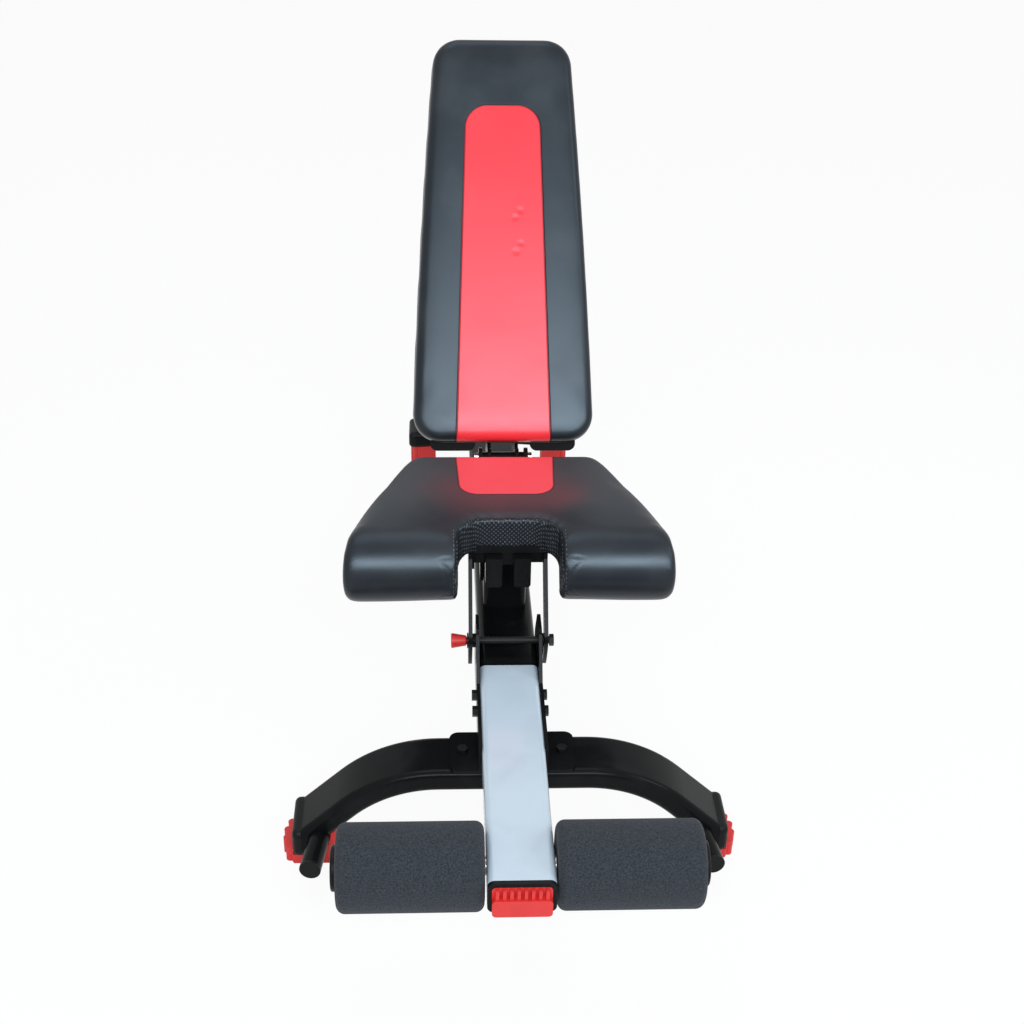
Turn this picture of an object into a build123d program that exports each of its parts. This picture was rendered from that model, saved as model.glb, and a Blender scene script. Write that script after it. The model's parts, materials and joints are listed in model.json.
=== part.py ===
from build123d import *
import os
from math import atan2, cos, degrees, hypot, radians, sin, tan

# Adjustable weight bench in millimetres, +Z up. The sitter faces -Y; +X is to the right seen from the front.
# Stations along Y count from the front stabiliser's middle and are shifted to the bench's middle on export.

# Driving dimensions: clearances
running_clearance = 0.05
slot_clearance = 0.4
side_gap = 1.0

# Driving dimensions: square tube stock and plate
wall = 3.0
beam_width = 92.0
beam_height = 50.0
beam_corner = 10.0
plate = 5.0

# Driving dimensions: front stabiliser, a flat tube bent into an arch
arch_depth = 90.0
arch_thickness = 36.0
arch_corner = 11.0
arch_top = 178.0
arch_flat = 110.0
arch_bend_radius = 218.0
arch_leg_angle = 43.0
arch_reach = 316.0

# Driving dimensions: rear stabiliser
rear_station = 1200.0
rear_depth = 80.0
rear_flat = 60.0
rear_bend_radius = 150.0
rear_leg_angle = 4.0
rear_reach = 158.0

# Driving dimensions: end caps, ribbed feet and pegs
cap_thickness = 14.0
front_foot_out = 17.0
rear_foot_out = -3.0
foot_lip_rise = 10.0
foot_inset = 7.0
foot_bulge = 12.0
foot_rib_count = 4
foot_rib_width = 13.0
foot_rib_height = 6.0
front_foot_length = 78.0
rear_foot_length = 48.0
peg_diameter = 32.0
peg_length = 62.0
peg_height = 54.0
peg_offset = 289.0
peg_splay = 8.0
peg_root = 12.0
peg_plug_flange = 4.0
peg_plug_depth = 12.0

# Driving dimensions: front beam and foot rollers
beam_front = 318.0
beam_rear = 153.0
bezel_length = 7.0
plug_margin = 6.0
plug_nose_height = 28.0
plug_nose_length = 10.0
plug_depth = 20.0
plug_rib_count = 8
plug_rib_span = 0.94
plug_rib_share = 0.45
roller_station = -264.0
roller_diameter = 120.0
roller_length = 198.0
roller_edge = 9.0
roller_axle_diameter = 25.0
roller_core_wall = 3.5
roller_cap_diameter = 62.0
roller_cap_thickness = 6.0
roller_cap_edge = 3.0

# Driving dimensions: side plates and rear rail
side_plate_rear = 250.0
side_plate_crown = 35.0
side_plate_crown_half = 24.0
side_plate_corner = 14.0
beam_bolt_stations = (70.0, 110.0)
flange_width = 42.0
flange_bolt_share = 0.55
rail_gap = 4.0
rail_end_top = 156.0
rail_overhang = 34.0

# Driving dimensions: post and its head plates
post_width = 70.0
post_depth = 50.0
post_station = 355.0
post_top = 340.0
head_plate = 6.0
head_shelf = 366.0
head_depth = 96.0
head_eye = 20.0
head_step = 8.0
head_flare = 10.0

# Driving dimensions: seat
seat_top = 440.0
seat_rear = 453.0
seat_front = 158.0
seat_rear_half = 148.0
seat_middle_half = 223.0
seat_middle_station = 297.0
seat_front_half = 256.0
seat_roll_radius = 60.0
seat_pad_depth = 56.0
seat_edge = 16.0
seat_roll_run = 38.0
seat_roll_tail = 24.0
seat_board_inset = 20.0
seat_board_corner = 14.0
seat_tab = 30.0
seat_tab_spacing = 90.0
seat_corner = 30.0
notch_half = 45.0
notch_mouth_half = 76.0
notch_station = 241.0
board_thickness = 12.0
seat_pivot_station = 425.0
seat_pivot_drop = 82.0
seat_tilt_range = 10.0
arm_thickness = 6.0
arm_width = 30.0
arm_end_margin = 4.0
spacer_diameter = 24.0
arm_offset = 56.0
clamp_station = 185.0
clamp_rise = 25.0
clamp_bolt = 12.0
bush_diameter = 22.0
washer_thickness = 2.0
lug_width = 26.0
lug_height = 52.0
lug_depth = 30.0
lug_x = 22.5
lug_corner = 5.0
cross_depth = 28.0
cross_height = 26.0

# Driving dimensions: backrest, drawn flat with its pivot at the origin and then raised
back_angle = 60.0
back_low_angle = -15.0
back_high_angle = 85.0
back_pivot_station = 486.0
back_pivot_drop = 30.0
back_face = 35.4
back_start = 29.0
back_length = 668.0
back_low_half = 152.0
back_top_half = 113.0
back_corner = 46.0
back_side_bow = 4.0
back_edge = 16.0
back_pad_depth = 43.0
back_board_inset = 12.0
back_ear_half = 122.0
back_ear_drop = 14.0
back_ear_corner = 12.0
back_tube = 40.0
back_tube_corner = 5.0
tube_cap_flange = 3.0
tube_cap_depth = 12.0
back_tube_start = 130.0
back_tube_share = 0.8
strap = 5.0
strap_width = 40.0
strap_length = 190.0
strap_shares = (0.26, 0.72)
hinge_plate = 6.0
hinge_band = 28.0
hinge_foot = 70.0
hinge_heel = 30.0
pivot_axle = 16.0
barrel_diameter = 26.0
lock_radius = 105.0
lock_direction = -45.0
lock_angles = (-15.0, 0.0, 30.0, 45.0, 60.0, 85.0)
lock_pin = 12.0
lock_travel = 16.0
bracket_half = 26.0
bracket_foot = 40.0
bracket_eye = 18.0
guide_stand = 10.0

# Driving dimensions: knobs and fasteners
knob_length = 24.0
knob_small = 16.0
knob_large = 24.0
knob_edge = 2.0
knob_bore = 14.4
bolt = 10.0
bolt_head = 17.0
bolt_head_height = 7.0
small_bolt = 6.0
screw_grip = 7.2
screw_head_height = 4.0
seat_bolt = 14.0
seat_bolt_head = 22.0
pivot_head = 24.0

# Derived heights and stations
beam_z = arch_top + beam_height / 2
beam_top = arch_top + beam_height
beam_half = beam_width / 2
clamp_height = beam_top + clamp_rise
back_tube_end = back_start + back_length * back_tube_share
plate_out = beam_half + plate
rail_front = beam_rear + rail_gap
rail_slope = (beam_top - rail_end_top) / (rear_station - rail_front)
rail_thickness = beam_height * hypot(1, rail_slope)
rear_top = rail_end_top - rail_thickness
front_reach = beam_front + bezel_length + plug_nose_length
rear_limit = rear_station + rear_depth / 2
middle = (rear_limit - front_reach) / 2
back_pivot_z = seat_top - back_pivot_drop
seat_pivot_z = seat_top - seat_pivot_drop
board_top = seat_top - seat_pad_depth + board_thickness / 2
board_low = board_top - board_thickness
arm_out = arm_offset + arm_thickness
post_half = post_width / 2
head_out = post_half + head_plate
hinge_in = back_tube / 2
hinge_out = hinge_in + hinge_plate
hinge_clear = hinge_out + 2 * side_gap


def along_x(outline, start, end):
    """Extrude a side-view outline (Y, Z) between two X values."""
    return extrude(Plane.YZ.offset(min(start, end)) * outline, abs(end - start))


def along_y(outline, start, end):
    """Extrude a front-view outline (X, Z) between two Y values."""
    return extrude(Plane.XZ.offset(-max(start, end)) * outline, abs(end - start))


def along_z(outline, start, end):
    """Extrude a plan outline (X, Y) between two heights."""
    return extrude(Plane.XY.offset(min(start, end)) * outline, abs(end - start))


def other_side(shape):
    """The same piece on the other side of the bench."""
    return mirror(shape, about=Plane.YZ)


def save(name, *solids):
    """Write one node, moved so that the origin lies under the middle of the bench."""
    shape = solids[0] if len(solids) == 1 else Compound(children=list(solids))
    export_step(Pos(0, -middle, 0) * shape, f"parts/{name}.step")


def save_pair(name, right):
    """Write a left and a right node from the right-hand piece."""
    save(name + "_right", right)
    save(name + "_left", other_side(right))


def rod_x(y, z, diameter, start, end):
    """Round rod along X."""
    return along_x(Pos(y, z) * Circle(diameter / 2), start, end)


def hex_head(y, z, size, start, end):
    """Hexagonal bolt head or nut with its axis along X."""
    return along_x(Pos(y, z) * RegularPolygon(size / 2, 6), start, end)


def polar(radius, angle):
    """Point at an angle in degrees on a circle about the origin."""
    return (radius * cos(radians(angle)), radius * sin(radians(angle)))


def arc_slot(radius, width, start, end):
    """Curved slot outline about the origin, with round ends, between two angles."""
    outer = radius + width / 2
    inner = radius - width / 2
    edges = [
        CenterArc((0, 0), outer, start, end - start),
        Line(polar(outer, end), polar(inner, end)),
        CenterArc((0, 0), inner, start, end - start),
        Line(polar(inner, start), polar(outer, start)),
    ]
    ends = [Pos(*polar(radius, angle)) * Circle(width / 2) for angle in (start, end)]
    return make_face(edges) + ends


# Stabilisers


def leg_height(flat, radius, angle, top, x):
    """Height of the arch's outer face on its straight leg."""
    bend_x = flat + radius * sin(radians(angle))
    bend_z = top - radius * (1 - cos(radians(angle)))
    return bend_z - (x - bend_x) * tan(radians(angle))


def arch_solid(flat, radius, angle, reach, top, thickness, depth, corner):
    """Bent flat bar: a straight crown, two bends and two straight legs cut upright at their ends."""
    inner = radius - thickness
    drop = thickness / cos(radians(angle))
    end_top = (reach, leg_height(flat, radius, angle, top, reach))
    end_low = (reach, end_top[1] - drop)
    bend_top = (flat + radius * sin(radians(angle)), top - radius * (1 - cos(radians(angle))))
    bend_low = (flat + inner * sin(radians(angle)), top - radius + inner * cos(radians(angle)))
    half = [
        CenterArc((flat, top - radius), radius, 90 - angle, angle),
        Line(bend_top, end_top),
        Line(end_top, end_low),
        Line(end_low, bend_low),
        CenterArc((flat, top - radius), inner, 90 - angle, angle),
    ]
    crown = [Line((-flat, z), (flat, z)) for z in (top, top - thickness)]
    edges = half + [edge.mirror(Plane.YZ) for edge in half] + crown
    bar = along_y(make_face(edges), -depth / 2, depth / 2)
    rims = [face.edges() - face.edges().filter_by(Axis.Z) for face in bar.faces().filter_by(Axis.Y)]
    return fillet(rims[0] + rims[1], corner)


def arch_tube(flat, radius, angle, reach, top, depth):
    """Arch and its hollow tube."""
    outer = arch_solid(flat, radius, angle, reach, top, arch_thickness, depth, arch_corner)
    bore = arch_solid(
        flat, radius - wall, angle, reach + side_gap, top - wall,
        arch_thickness - 2 * wall, depth - 2 * wall, arch_corner - wall,
    )
    return outer, outer - bore


def end_cap(flat, radius, angle, reach, top, depth):
    """Plastic cap on the upright end of an arch, with a rounded upper edge."""
    end_z = leg_height(flat, radius, angle, top, reach)
    height = arch_thickness / cos(radians(angle))
    outline = Pos(0, end_z - height / 2) * RectangleRounded(depth, height, arch_corner)
    cap = along_x(outline, reach, reach + cap_thickness)
    outer_rim = cap.faces().sort_by(Axis.X)[-1].edges()
    return fillet(outer_rim, arch_corner - 2 * side_gap)


def ribbed_foot(flat, radius, angle, reach, top, depth, length, out):
    """Rubber foot under the end of an arch, with its nose scalloped into upright ribs."""
    cap_end = reach + cap_thickness
    tip = cap_end + out
    outer = tip - foot_rib_height
    inner = outer - length
    shoulder = outer - foot_bulge
    half = depth / 2 - foot_inset
    drop = arch_thickness / cos(radians(angle))
    end_low = leg_height(flat, radius, angle, top, reach) - drop
    inner_low = leg_height(flat, radius, angle, top, inner) - drop
    nose_radius = (half * half + foot_bulge * foot_bulge) / (2 * foot_bulge)
    nose_centre = outer - nose_radius
    sweep = degrees(atan2(half, shoulder - nose_centre))
    plan = Pos((inner + shoulder) / 2, 0) * Rectangle(shoulder - inner, 2 * half)
    nose = [
        CenterArc((nose_centre, 0), nose_radius, -sweep, 2 * sweep),
        Line((shoulder, half), (shoulder, -half)),
    ]
    plan += make_face(nose)
    rib_step = 2 * sweep / (foot_rib_count + 0.5)
    rib = Pos(nose_radius + foot_rib_height - foot_rib_width / 2, 0) * Circle(foot_rib_width / 2)
    for index in range(foot_rib_count):
        turn = (index - (foot_rib_count - 1) / 2) * rib_step
        plan += Pos(nose_centre, 0) * Rot(0, 0, turn) * rib
    side = Polyline(
        (inner, 0), (tip, 0), (tip, end_low), (reach, end_low), (inner, inner_low), (inner, 0)
    )
    block = along_y(make_face(side), -depth / 2, depth / 2)
    if out > 0:
        lip = Pos(cap_end + out / 2, 0, end_low + foot_lip_rise / 2) * Box(out, depth, foot_lip_rise)
        block += lip
    return block & along_z(plan, 0, top)


front_shape = (arch_flat, arch_bend_radius, arch_leg_angle, arch_reach, arch_top, arch_depth)
rear_shape = (rear_flat, rear_bend_radius, rear_leg_angle, rear_reach, rear_top, rear_depth)
front_arch, front_tube = arch_tube(*front_shape)
rear_arch, rear_tube = arch_tube(*rear_shape)
front_cap = end_cap(*front_shape)
rear_cap = end_cap(*rear_shape)
front_foot = ribbed_foot(*front_shape, front_foot_length, front_foot_out)
rear_foot = ribbed_foot(*rear_shape, rear_foot_length, rear_foot_out)
to_rear = Pos(0, rear_station, 0)

# Pegs: short tubes standing forward of the front stabiliser's legs
peg_place = Pos(peg_offset, -arch_depth / 2, peg_height) * Rot(90, 0, 0) * Rot(0, peg_splay, 0)
peg_bore = peg_diameter - 2 * wall
peg_blank = peg_place * Pos(0, 0, -peg_root) * Cylinder(
    peg_diameter / 2, peg_length + peg_root, align=(Align.CENTER, Align.CENTER, Align.MIN)
)
peg_hollow = peg_place * Pos(0, 0, -peg_root) * Cylinder(
    peg_bore / 2, peg_length + peg_root, align=(Align.CENTER, Align.CENTER, Align.MIN)
)
peg = peg_blank - peg_hollow - front_arch - front_cap - front_foot
peg_plug_head = Pos(0, 0, peg_length + peg_plug_flange / 2) * Cylinder(peg_diameter / 2, peg_plug_flange)
peg_plug_body = Cylinder(peg_bore / 2 - running_clearance, peg_plug_depth)
peg_plug = peg_place * (peg_plug_head + Pos(0, 0, peg_length - peg_plug_depth / 2) * peg_plug_body)

# Front beam, its end fittings and the foot rollers
flange_bolt_x = plate_out + flange_width * flange_bolt_share
core_bore = roller_axle_diameter + 2 * running_clearance
axle_hole = rod_x(roller_station, beam_z, core_bore, -beam_half, beam_half)
beam_outline = Pos(0, beam_z) * RectangleRounded(beam_width, beam_height, beam_corner)
beam_bore = Pos(0, beam_z) * RectangleRounded(
    beam_width - 2 * wall, beam_height - 2 * wall, beam_corner - wall
)
bolt_holes = [
    rod_x(y, beam_z, bolt + 2 * running_clearance, -plate_out, plate_out) for y in beam_bolt_stations
]
front_beam = along_y(beam_outline, -beam_front, beam_rear) - along_y(beam_bore, -beam_front, beam_rear)
front_beam = front_beam - axle_hole - bolt_holes
beam_bolts = [
    hex_head(y, beam_z, bolt_head, side * plate_out, side * (plate_out + bolt_head_height))
    + rod_x(y, beam_z, bolt, side * (beam_half - 2 * wall), side * plate_out)
    for y in beam_bolt_stations
    for side in (-1, 1)
]

bezel_front = -beam_front - bezel_length
opening_width = beam_width - 2 * plug_margin
opening_height = beam_height - 2 * plug_margin
opening = Pos(0, beam_z) * RectangleRounded(opening_width, opening_height, plug_margin)
bezel = along_y(beam_outline - opening, bezel_front, -beam_front)
nose_front = bezel_front - plug_nose_length
nose_low = arch_top + side_gap
nose_z = nose_low + plug_nose_height / 2
end_plug = along_y(opening, bezel_front, -beam_front + plug_depth)
end_plug += along_y(
    Pos(0, nose_z) * RectangleRounded(opening_width, plug_nose_height, plug_margin), nose_front, bezel_front
)
rib_pitch = opening_width / plug_rib_count
rib_low = nose_low + plug_nose_height - plug_margin
rib_high = beam_z + opening_height / 2
rib_outline = Rectangle(rib_pitch * plug_rib_share, rib_high - rib_low - 2 * side_gap)
for index in range(plug_rib_count):
    rib_x = (index - (plug_rib_count - 1) / 2) * rib_pitch * plug_rib_span
    rib_place = Pos(rib_x, (rib_low + rib_high) / 2)
    end_plug += along_y(rib_place * rib_outline, nose_front + 2 * side_gap, bezel_front)

roller_inner = beam_half + 2 * side_gap
roller_outer = roller_inner + roller_length
axle_end = roller_outer + side_gap + roller_cap_thickness
core_diameter = core_bore + 2 * roller_core_wall
core_tube = rod_x(roller_station, beam_z, core_diameter, roller_inner, roller_outer)
roller_core = core_tube - rod_x(roller_station, beam_z, core_bore, roller_inner, roller_outer)
foam_blank = rod_x(roller_station, beam_z, roller_diameter, roller_inner, roller_outer)
foam_blank = fillet(foam_blank.edges().filter_by(GeomType.CIRCLE), roller_edge)
roller_foam = foam_blank - core_tube
axle_tip = axle_end - roller_cap_thickness
roller_axle = rod_x(roller_station, beam_z, roller_axle_diameter, -axle_tip, axle_tip)
roller_cap = rod_x(roller_station, beam_z, roller_cap_diameter, axle_tip, axle_end)
roller_cap = fillet(roller_cap.faces().sort_by(Axis.X)[-1].edges(), roller_cap_edge)

# Side plates: they clamp the front beam and the rear rail, and stand on the front stabiliser with flanges
arch_half = arch_depth / 2
crown_z = clamp_height + side_plate_crown
plate_line = Polyline(
    (-arch_half, arch_top),
    (side_plate_rear, arch_top),
    (side_plate_rear, beam_top),
    (clamp_station + side_plate_crown_half, crown_z),
    (clamp_station - side_plate_crown_half, crown_z),
    (beam_bolt_stations[1], beam_top - wall),
    (-arch_half, beam_top - wall),
    (-arch_half, arch_top),
)
plate_face = make_face(plate_line)
plate_face = fillet(plate_face.vertices().filter_by(lambda v: v.Y > beam_top + side_gap), side_plate_corner)
plate_face -= Pos(clamp_station, clamp_height) * Circle(clamp_bolt / 2 + running_clearance)
plate_face -= [Pos(y, beam_z) * Circle(bolt / 2 + running_clearance) for y in beam_bolt_stations]
flange_middle = plate_out + flange_width / 2 - plate / 2
flange_outline = Pos(flange_middle, 0) * Rectangle(flange_width + plate, arch_depth)
flange_outline = fillet(flange_outline.vertices().group_by(Axis.X)[-1], side_plate_corner)
flange_outline -= Pos(flange_bolt_x, 0) * Circle(bolt / 2 + running_clearance)
side_plate = along_x(plate_face, beam_half, plate_out) + along_z(flange_outline, arch_top, arch_top + plate)
flange_hole = Pos(flange_bolt_x, 0, arch_top) * Cylinder(bolt / 2 + running_clearance, 4 * wall)
front_tube = front_tube - flange_hole - other_side(flange_hole)
flange_top = arch_top + plate
flange_bolt = along_z(Pos(flange_bolt_x, 0) * Circle(bolt / 2), arch_top - 2 * wall, flange_top)
flange_bolt += along_z(
    Pos(flange_bolt_x, 0) * RegularPolygon(bolt_head / 2, 6), flange_top, flange_top + bolt_head_height
)

# Seat clamp: a through bolt with bushes, washer and knob
clamp_bush = rod_x(clamp_station, clamp_height, bush_diameter, plate_out, arm_offset - slot_clearance)
clamp_bush -= rod_x(clamp_station, clamp_height, clamp_bolt + 2 * running_clearance, plate_out, arm_offset)
washer_outer = arm_out + slot_clearance + washer_thickness
clamp_bore = clamp_bolt + 2 * running_clearance
clamp_washer = rod_x(
    clamp_station, clamp_height, bush_diameter + 2 * side_gap, arm_out + slot_clearance, washer_outer
)
clamp_washer -= rod_x(clamp_station, clamp_height, clamp_bore, arm_out, washer_outer)
knob_inner = washer_outer + side_gap
clamp_shaft_end = knob_inner + knob_bore
clamp_through_bolt = rod_x(clamp_station, clamp_height, clamp_bolt, -clamp_shaft_end, washer_outer)
clamp_through_bolt += hex_head(
    clamp_station, clamp_height, bolt_head + 2 * side_gap, washer_outer, washer_outer + bolt_head_height
)


def cone_knob(y, z, bore, bore_depth, start):
    """Conical pull knob pointing to -X, widest at its outer end, with a blind bore for its shaft."""
    cone = Cone(knob_small / 2, knob_large / 2, knob_length, align=(Align.CENTER, Align.CENTER, Align.MIN))
    cone = fillet(cone.edges().filter_by(GeomType.CIRCLE), knob_edge)
    cone -= Cylinder(bore / 2, bore_depth, align=(Align.CENTER, Align.CENTER, Align.MIN))
    return Pos(start, y, z) * Rot(0, -90, 0) * cone


clamp_knob = cone_knob(clamp_station, clamp_height, clamp_bore, knob_bore + side_gap, -knob_inner)

# Rear rail: it falls gently from the side plates to the rear stabiliser


def rail_top(y):
    """Height of the rear rail's upper face."""
    return beam_top - (y - rail_front) * rail_slope


def rail_bar(inset, start, end):
    """Rear rail's outer form, or its bore when inset by the wall."""
    rise = inset * hypot(1, rail_slope)
    side = Polyline(
        (start, rail_top(start) - rise),
        (end, rail_top(end) - rise),
        (end, rail_top(end) - rail_thickness + rise),
        (start, rail_top(start) - rail_thickness + rise),
        (start, rail_top(start) - rise),
    )
    bar = along_x(make_face(side), -beam_half + inset, beam_half - inset)
    ends = bar.edges().filter_by(Axis.Z) + bar.edges().filter_by(Axis.X)
    return fillet(bar.edges() - ends, beam_corner - inset)


rail_end = rear_station + rail_overhang
rail_outer = rail_bar(0, rail_front, rail_end)
rail_hollow = rail_bar(wall, rail_front - side_gap, rail_end - 2 * wall)
rear_rail = rail_outer - rail_hollow - to_rear * rear_arch
rear_bolt_x = beam_half * 0.5
rear_bolt_top = rail_top(rear_station) - rail_thickness + wall + 2 * side_gap
rear_bolts = []
rear_holes = []
for side in (-1, 1):
    place = Pos(side * rear_bolt_x, rear_station)
    shank = along_z(place * Circle(bolt / 2), rear_top - 2 * wall, rear_bolt_top)
    head_face = place * RegularPolygon(bolt_head / 2, 6)
    rear_bolts.append(shank + along_z(head_face, rear_bolt_top, rear_bolt_top + bolt_head_height))
    rear_holes.append(
        along_z(place * Circle(bolt / 2 + running_clearance), rear_top - 3 * wall, rear_bolt_top)
    )
rear_seat = along_z(
    Pos(0, rear_station) * Rectangle(4 * rear_bolt_x, 3 * bolt), rear_top, rear_bolt_top
)
rear_rail = rear_rail + (rear_seat & rail_outer) - to_rear * rear_arch - rear_holes
rear_tube_placed = to_rear * rear_tube - rear_holes

# Post and head plates under the joint of seat and back
post_back = post_station + post_depth / 2
post_front = post_station - post_depth / 2
post_outline = Pos(0, post_station) * RectangleRounded(post_width, post_depth, beam_corner)
post_bore = Pos(0, post_station) * RectangleRounded(
    post_width - 2 * wall, post_depth - 2 * wall, beam_corner - wall
)
post_low = rail_top(post_back) - beam_corner
post_hollow = along_z(post_bore, post_low, post_top - wall)
post = along_z(post_outline, post_low, post_top) - post_hollow - rail_outer
head_low = head_shelf - head_depth
head_line = Polyline(
    (post_front, head_low),
    (post_front, head_shelf),
    (back_pivot_station - head_eye - head_step, head_shelf),
    (back_pivot_station - head_eye, head_shelf + head_step),
    (back_pivot_station - head_eye, back_pivot_z),
    (back_pivot_station + head_eye, back_pivot_z),
    (back_pivot_station + head_eye, back_pivot_z - head_eye),
    (post_back + head_flare, head_low),
    (post_front, head_low),
)
head_face = make_face(head_line) + Pos(back_pivot_station, back_pivot_z) * Circle(head_eye)
head_face -= Pos(back_pivot_station, back_pivot_z) * Circle(pivot_axle / 2 + running_clearance)
head_face -= Pos(seat_pivot_station, seat_pivot_z) * Circle(seat_bolt / 2 + running_clearance)
head_side = along_x(head_face, post_half, head_out)
back_axle = rod_x(back_pivot_station, back_pivot_z, pivot_axle, -head_out, head_out)
back_axle += hex_head(back_pivot_station, back_pivot_z, pivot_head, head_out, head_out + bolt_head_height)
back_nut = hex_head(back_pivot_station, back_pivot_z, pivot_head, -head_out - bolt_head_height, -head_out)
seat_bolt_in = hinge_clear + side_gap
seat_pivot_bolt = rod_x(seat_pivot_station, seat_pivot_z, seat_bolt, seat_bolt_in, arm_out + side_gap)
seat_pivot_bolt += hex_head(
    seat_pivot_station, seat_pivot_z, seat_bolt_head, arm_out + side_gap, arm_out + bolt_head_height
)
seat_pivot_nut = hex_head(seat_pivot_station, seat_pivot_z, seat_bolt_head, seat_bolt_in, post_half)
seat_bore = seat_bolt + 2 * running_clearance
seat_pivot_nut -= rod_x(seat_pivot_station, seat_pivot_z, seat_bore, seat_bolt_in, post_half)
spacer_end = arm_offset - slot_clearance
seat_spacer = rod_x(seat_pivot_station, seat_pivot_z, spacer_diameter, head_out, spacer_end)
seat_spacer -= rod_x(seat_pivot_station, seat_pivot_z, seat_bore, head_out, spacer_end)

# Seat: arms hang from the seat board and slide on the clamp bolt
arm_y = clamp_station - seat_pivot_station
arm_z = clamp_height - seat_pivot_z
arm_radius = hypot(arm_y, arm_z)
arm_rest = degrees(atan2(arm_z, arm_y)) % 360
arm_end = degrees((arm_width / 2 + arm_end_margin) / arm_radius)
arm_low = arm_rest + seat_tilt_range
slot_margin = degrees(slot_clearance / arm_radius)
to_seat_pivot = Pos(seat_pivot_station, seat_pivot_z)
rail_rise = board_low - seat_pivot_z
shoulder_y = notch_station + arm_width / 2 - seat_pivot_station
arm_face = arc_slot(arm_radius, arm_width, arm_rest - arm_end / 2, arm_low + arm_end / 3)
link_top = Pos(shoulder_y, rail_rise - arm_width / 2) * Circle(arm_width / 2)
link_low = Pos(*polar(arm_radius, arm_rest - arm_end / 2)) * Circle(arm_width / 2)
arm_face += make_hull(link_top.edges() + link_low.edges())
arm_face += make_face(
    Polyline(
        (shoulder_y - arm_width / 2, rail_rise),
        (arm_width / 2, rail_rise),
        (arm_width / 2, rail_rise - arm_width),
        (shoulder_y - arm_width / 2, rail_rise - arm_width),
        (shoulder_y - arm_width / 2, rail_rise),
    )
)
arm_face += Circle(arm_width / 2)
arm_face -= Circle(seat_bolt / 2 + running_clearance)
arm_face -= arc_slot(
    arm_radius, clamp_bolt + 2 * slot_clearance, arm_rest - slot_margin, arm_low + slot_margin
)
seat_arm = along_x(to_seat_pivot * arm_face, arm_offset, arm_out)

cross_front = notch_station + arm_width / 2
cross_z = board_low - cross_height / 2
cross_bar = Pos(0, cross_front + cross_depth / 2, cross_z) * Box(2 * arm_offset, cross_depth, cross_height)
receiver = Pos(0, cross_front - wall, cross_z) * Box(2 * lug_x + lug_width, 2 * wall, cross_height)
for side in (-1, 1):
    receiver += Pos(side * lug_x, cross_front - lug_depth / 2, board_low - lug_height / 2 - side_gap) * Box(
        lug_width, lug_depth, lug_height
    )
receiver = fillet(receiver.edges().filter_by(Axis.Y).group_by(Axis.Z)[0], lug_corner)

# Seat pad: its side outline with the rolled front, drawn wide and cut to its plan outline with the notch
roll_y = seat_front + seat_roll_radius
roll_z = seat_top - seat_roll_radius
roll_back = roll_y + seat_roll_run
slab_low = seat_top - seat_pad_depth
roll_tail = slab_low - seat_roll_tail
plan_half = [
    Line((0, seat_rear), (seat_rear_half, seat_rear)),
    ThreePointArc(
        (seat_rear_half, seat_rear), (seat_middle_half, seat_middle_station), (seat_front_half, seat_front)
    ),
    Line((seat_front_half, seat_front), (notch_mouth_half, seat_front)),
    Line((notch_mouth_half, seat_front), (notch_mouth_half, roll_y)),
    Line((notch_mouth_half, roll_y), (notch_half, notch_station)),
    Line((notch_half, notch_station), (0, notch_station)),
]
plan_face = make_face(plan_half + [edge.mirror(Plane.YZ) for edge in plan_half])
rear_corners = plan_face.vertices().group_by(Axis.Y)[-1].filter_by(lambda v: abs(v.X) > side_gap)
plan_face = fillet(rear_corners, seat_corner)
side_face = make_face(
    [
        Line((seat_rear, seat_top), (roll_y, seat_top)),
        CenterArc((roll_y, roll_z), seat_roll_radius, 90, 180),
        Line((roll_y, roll_z - seat_roll_radius), (roll_back, roll_tail)),
        Line((roll_back, roll_tail), (roll_back, slab_low)),
        Line((roll_back, slab_low), (seat_rear, slab_low)),
        Line((seat_rear, slab_low), (seat_rear, seat_top)),
    ]
)
seat_width = 2 * seat_front_half
cushion = along_x(side_face, -seat_width, seat_width) & along_z(plan_face, roll_z - seat_roll_radius, seat_top)


def on_outer_rim(edge):
    """Whether an edge belongs to the cushion's top rim or to the ends of its roll."""
    point = edge.position_at(0.5)
    on_top = abs(point.Z - seat_top) < side_gap
    outside = point.Y > seat_rear - seat_corner or abs(point.X) > seat_rear_half
    return (on_top and outside) or edge.geom_type in (GeomType.BSPLINE, GeomType.ELLIPSE)


cushion = fillet(cushion.edges().filter_by(on_outer_rim), seat_edge)
arm_space = along_z(
    Pos(0, (roll_y + roll_back) / 2) * Rectangle(2 * notch_mouth_half, seat_roll_run),
    roll_z - seat_roll_radius,
    board_low,
)
board_rear = seat_rear - seat_board_inset
board_front = notch_station + 2 * side_gap
seat_board_face = make_face(
    Polyline(
        (-seat_rear_half + seat_board_inset, board_rear),
        (seat_rear_half - seat_board_inset, board_rear),
        (seat_middle_half - seat_board_inset, board_front),
        (-seat_middle_half + seat_board_inset, board_front),
        (-seat_rear_half + seat_board_inset, board_rear),
    )
)
seat_board_face = fillet(seat_board_face.vertices(), seat_board_corner)
seat_board = along_z(seat_board_face, board_low, board_top)
board_space = along_z(seat_board_face, roll_z - 2 * seat_roll_radius, board_top)
seat_pad = cushion - board_space - arm_space
tab_y = (notch_station + seat_pivot_station) / 2
right_tabs = []
seat_screws = []
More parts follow.
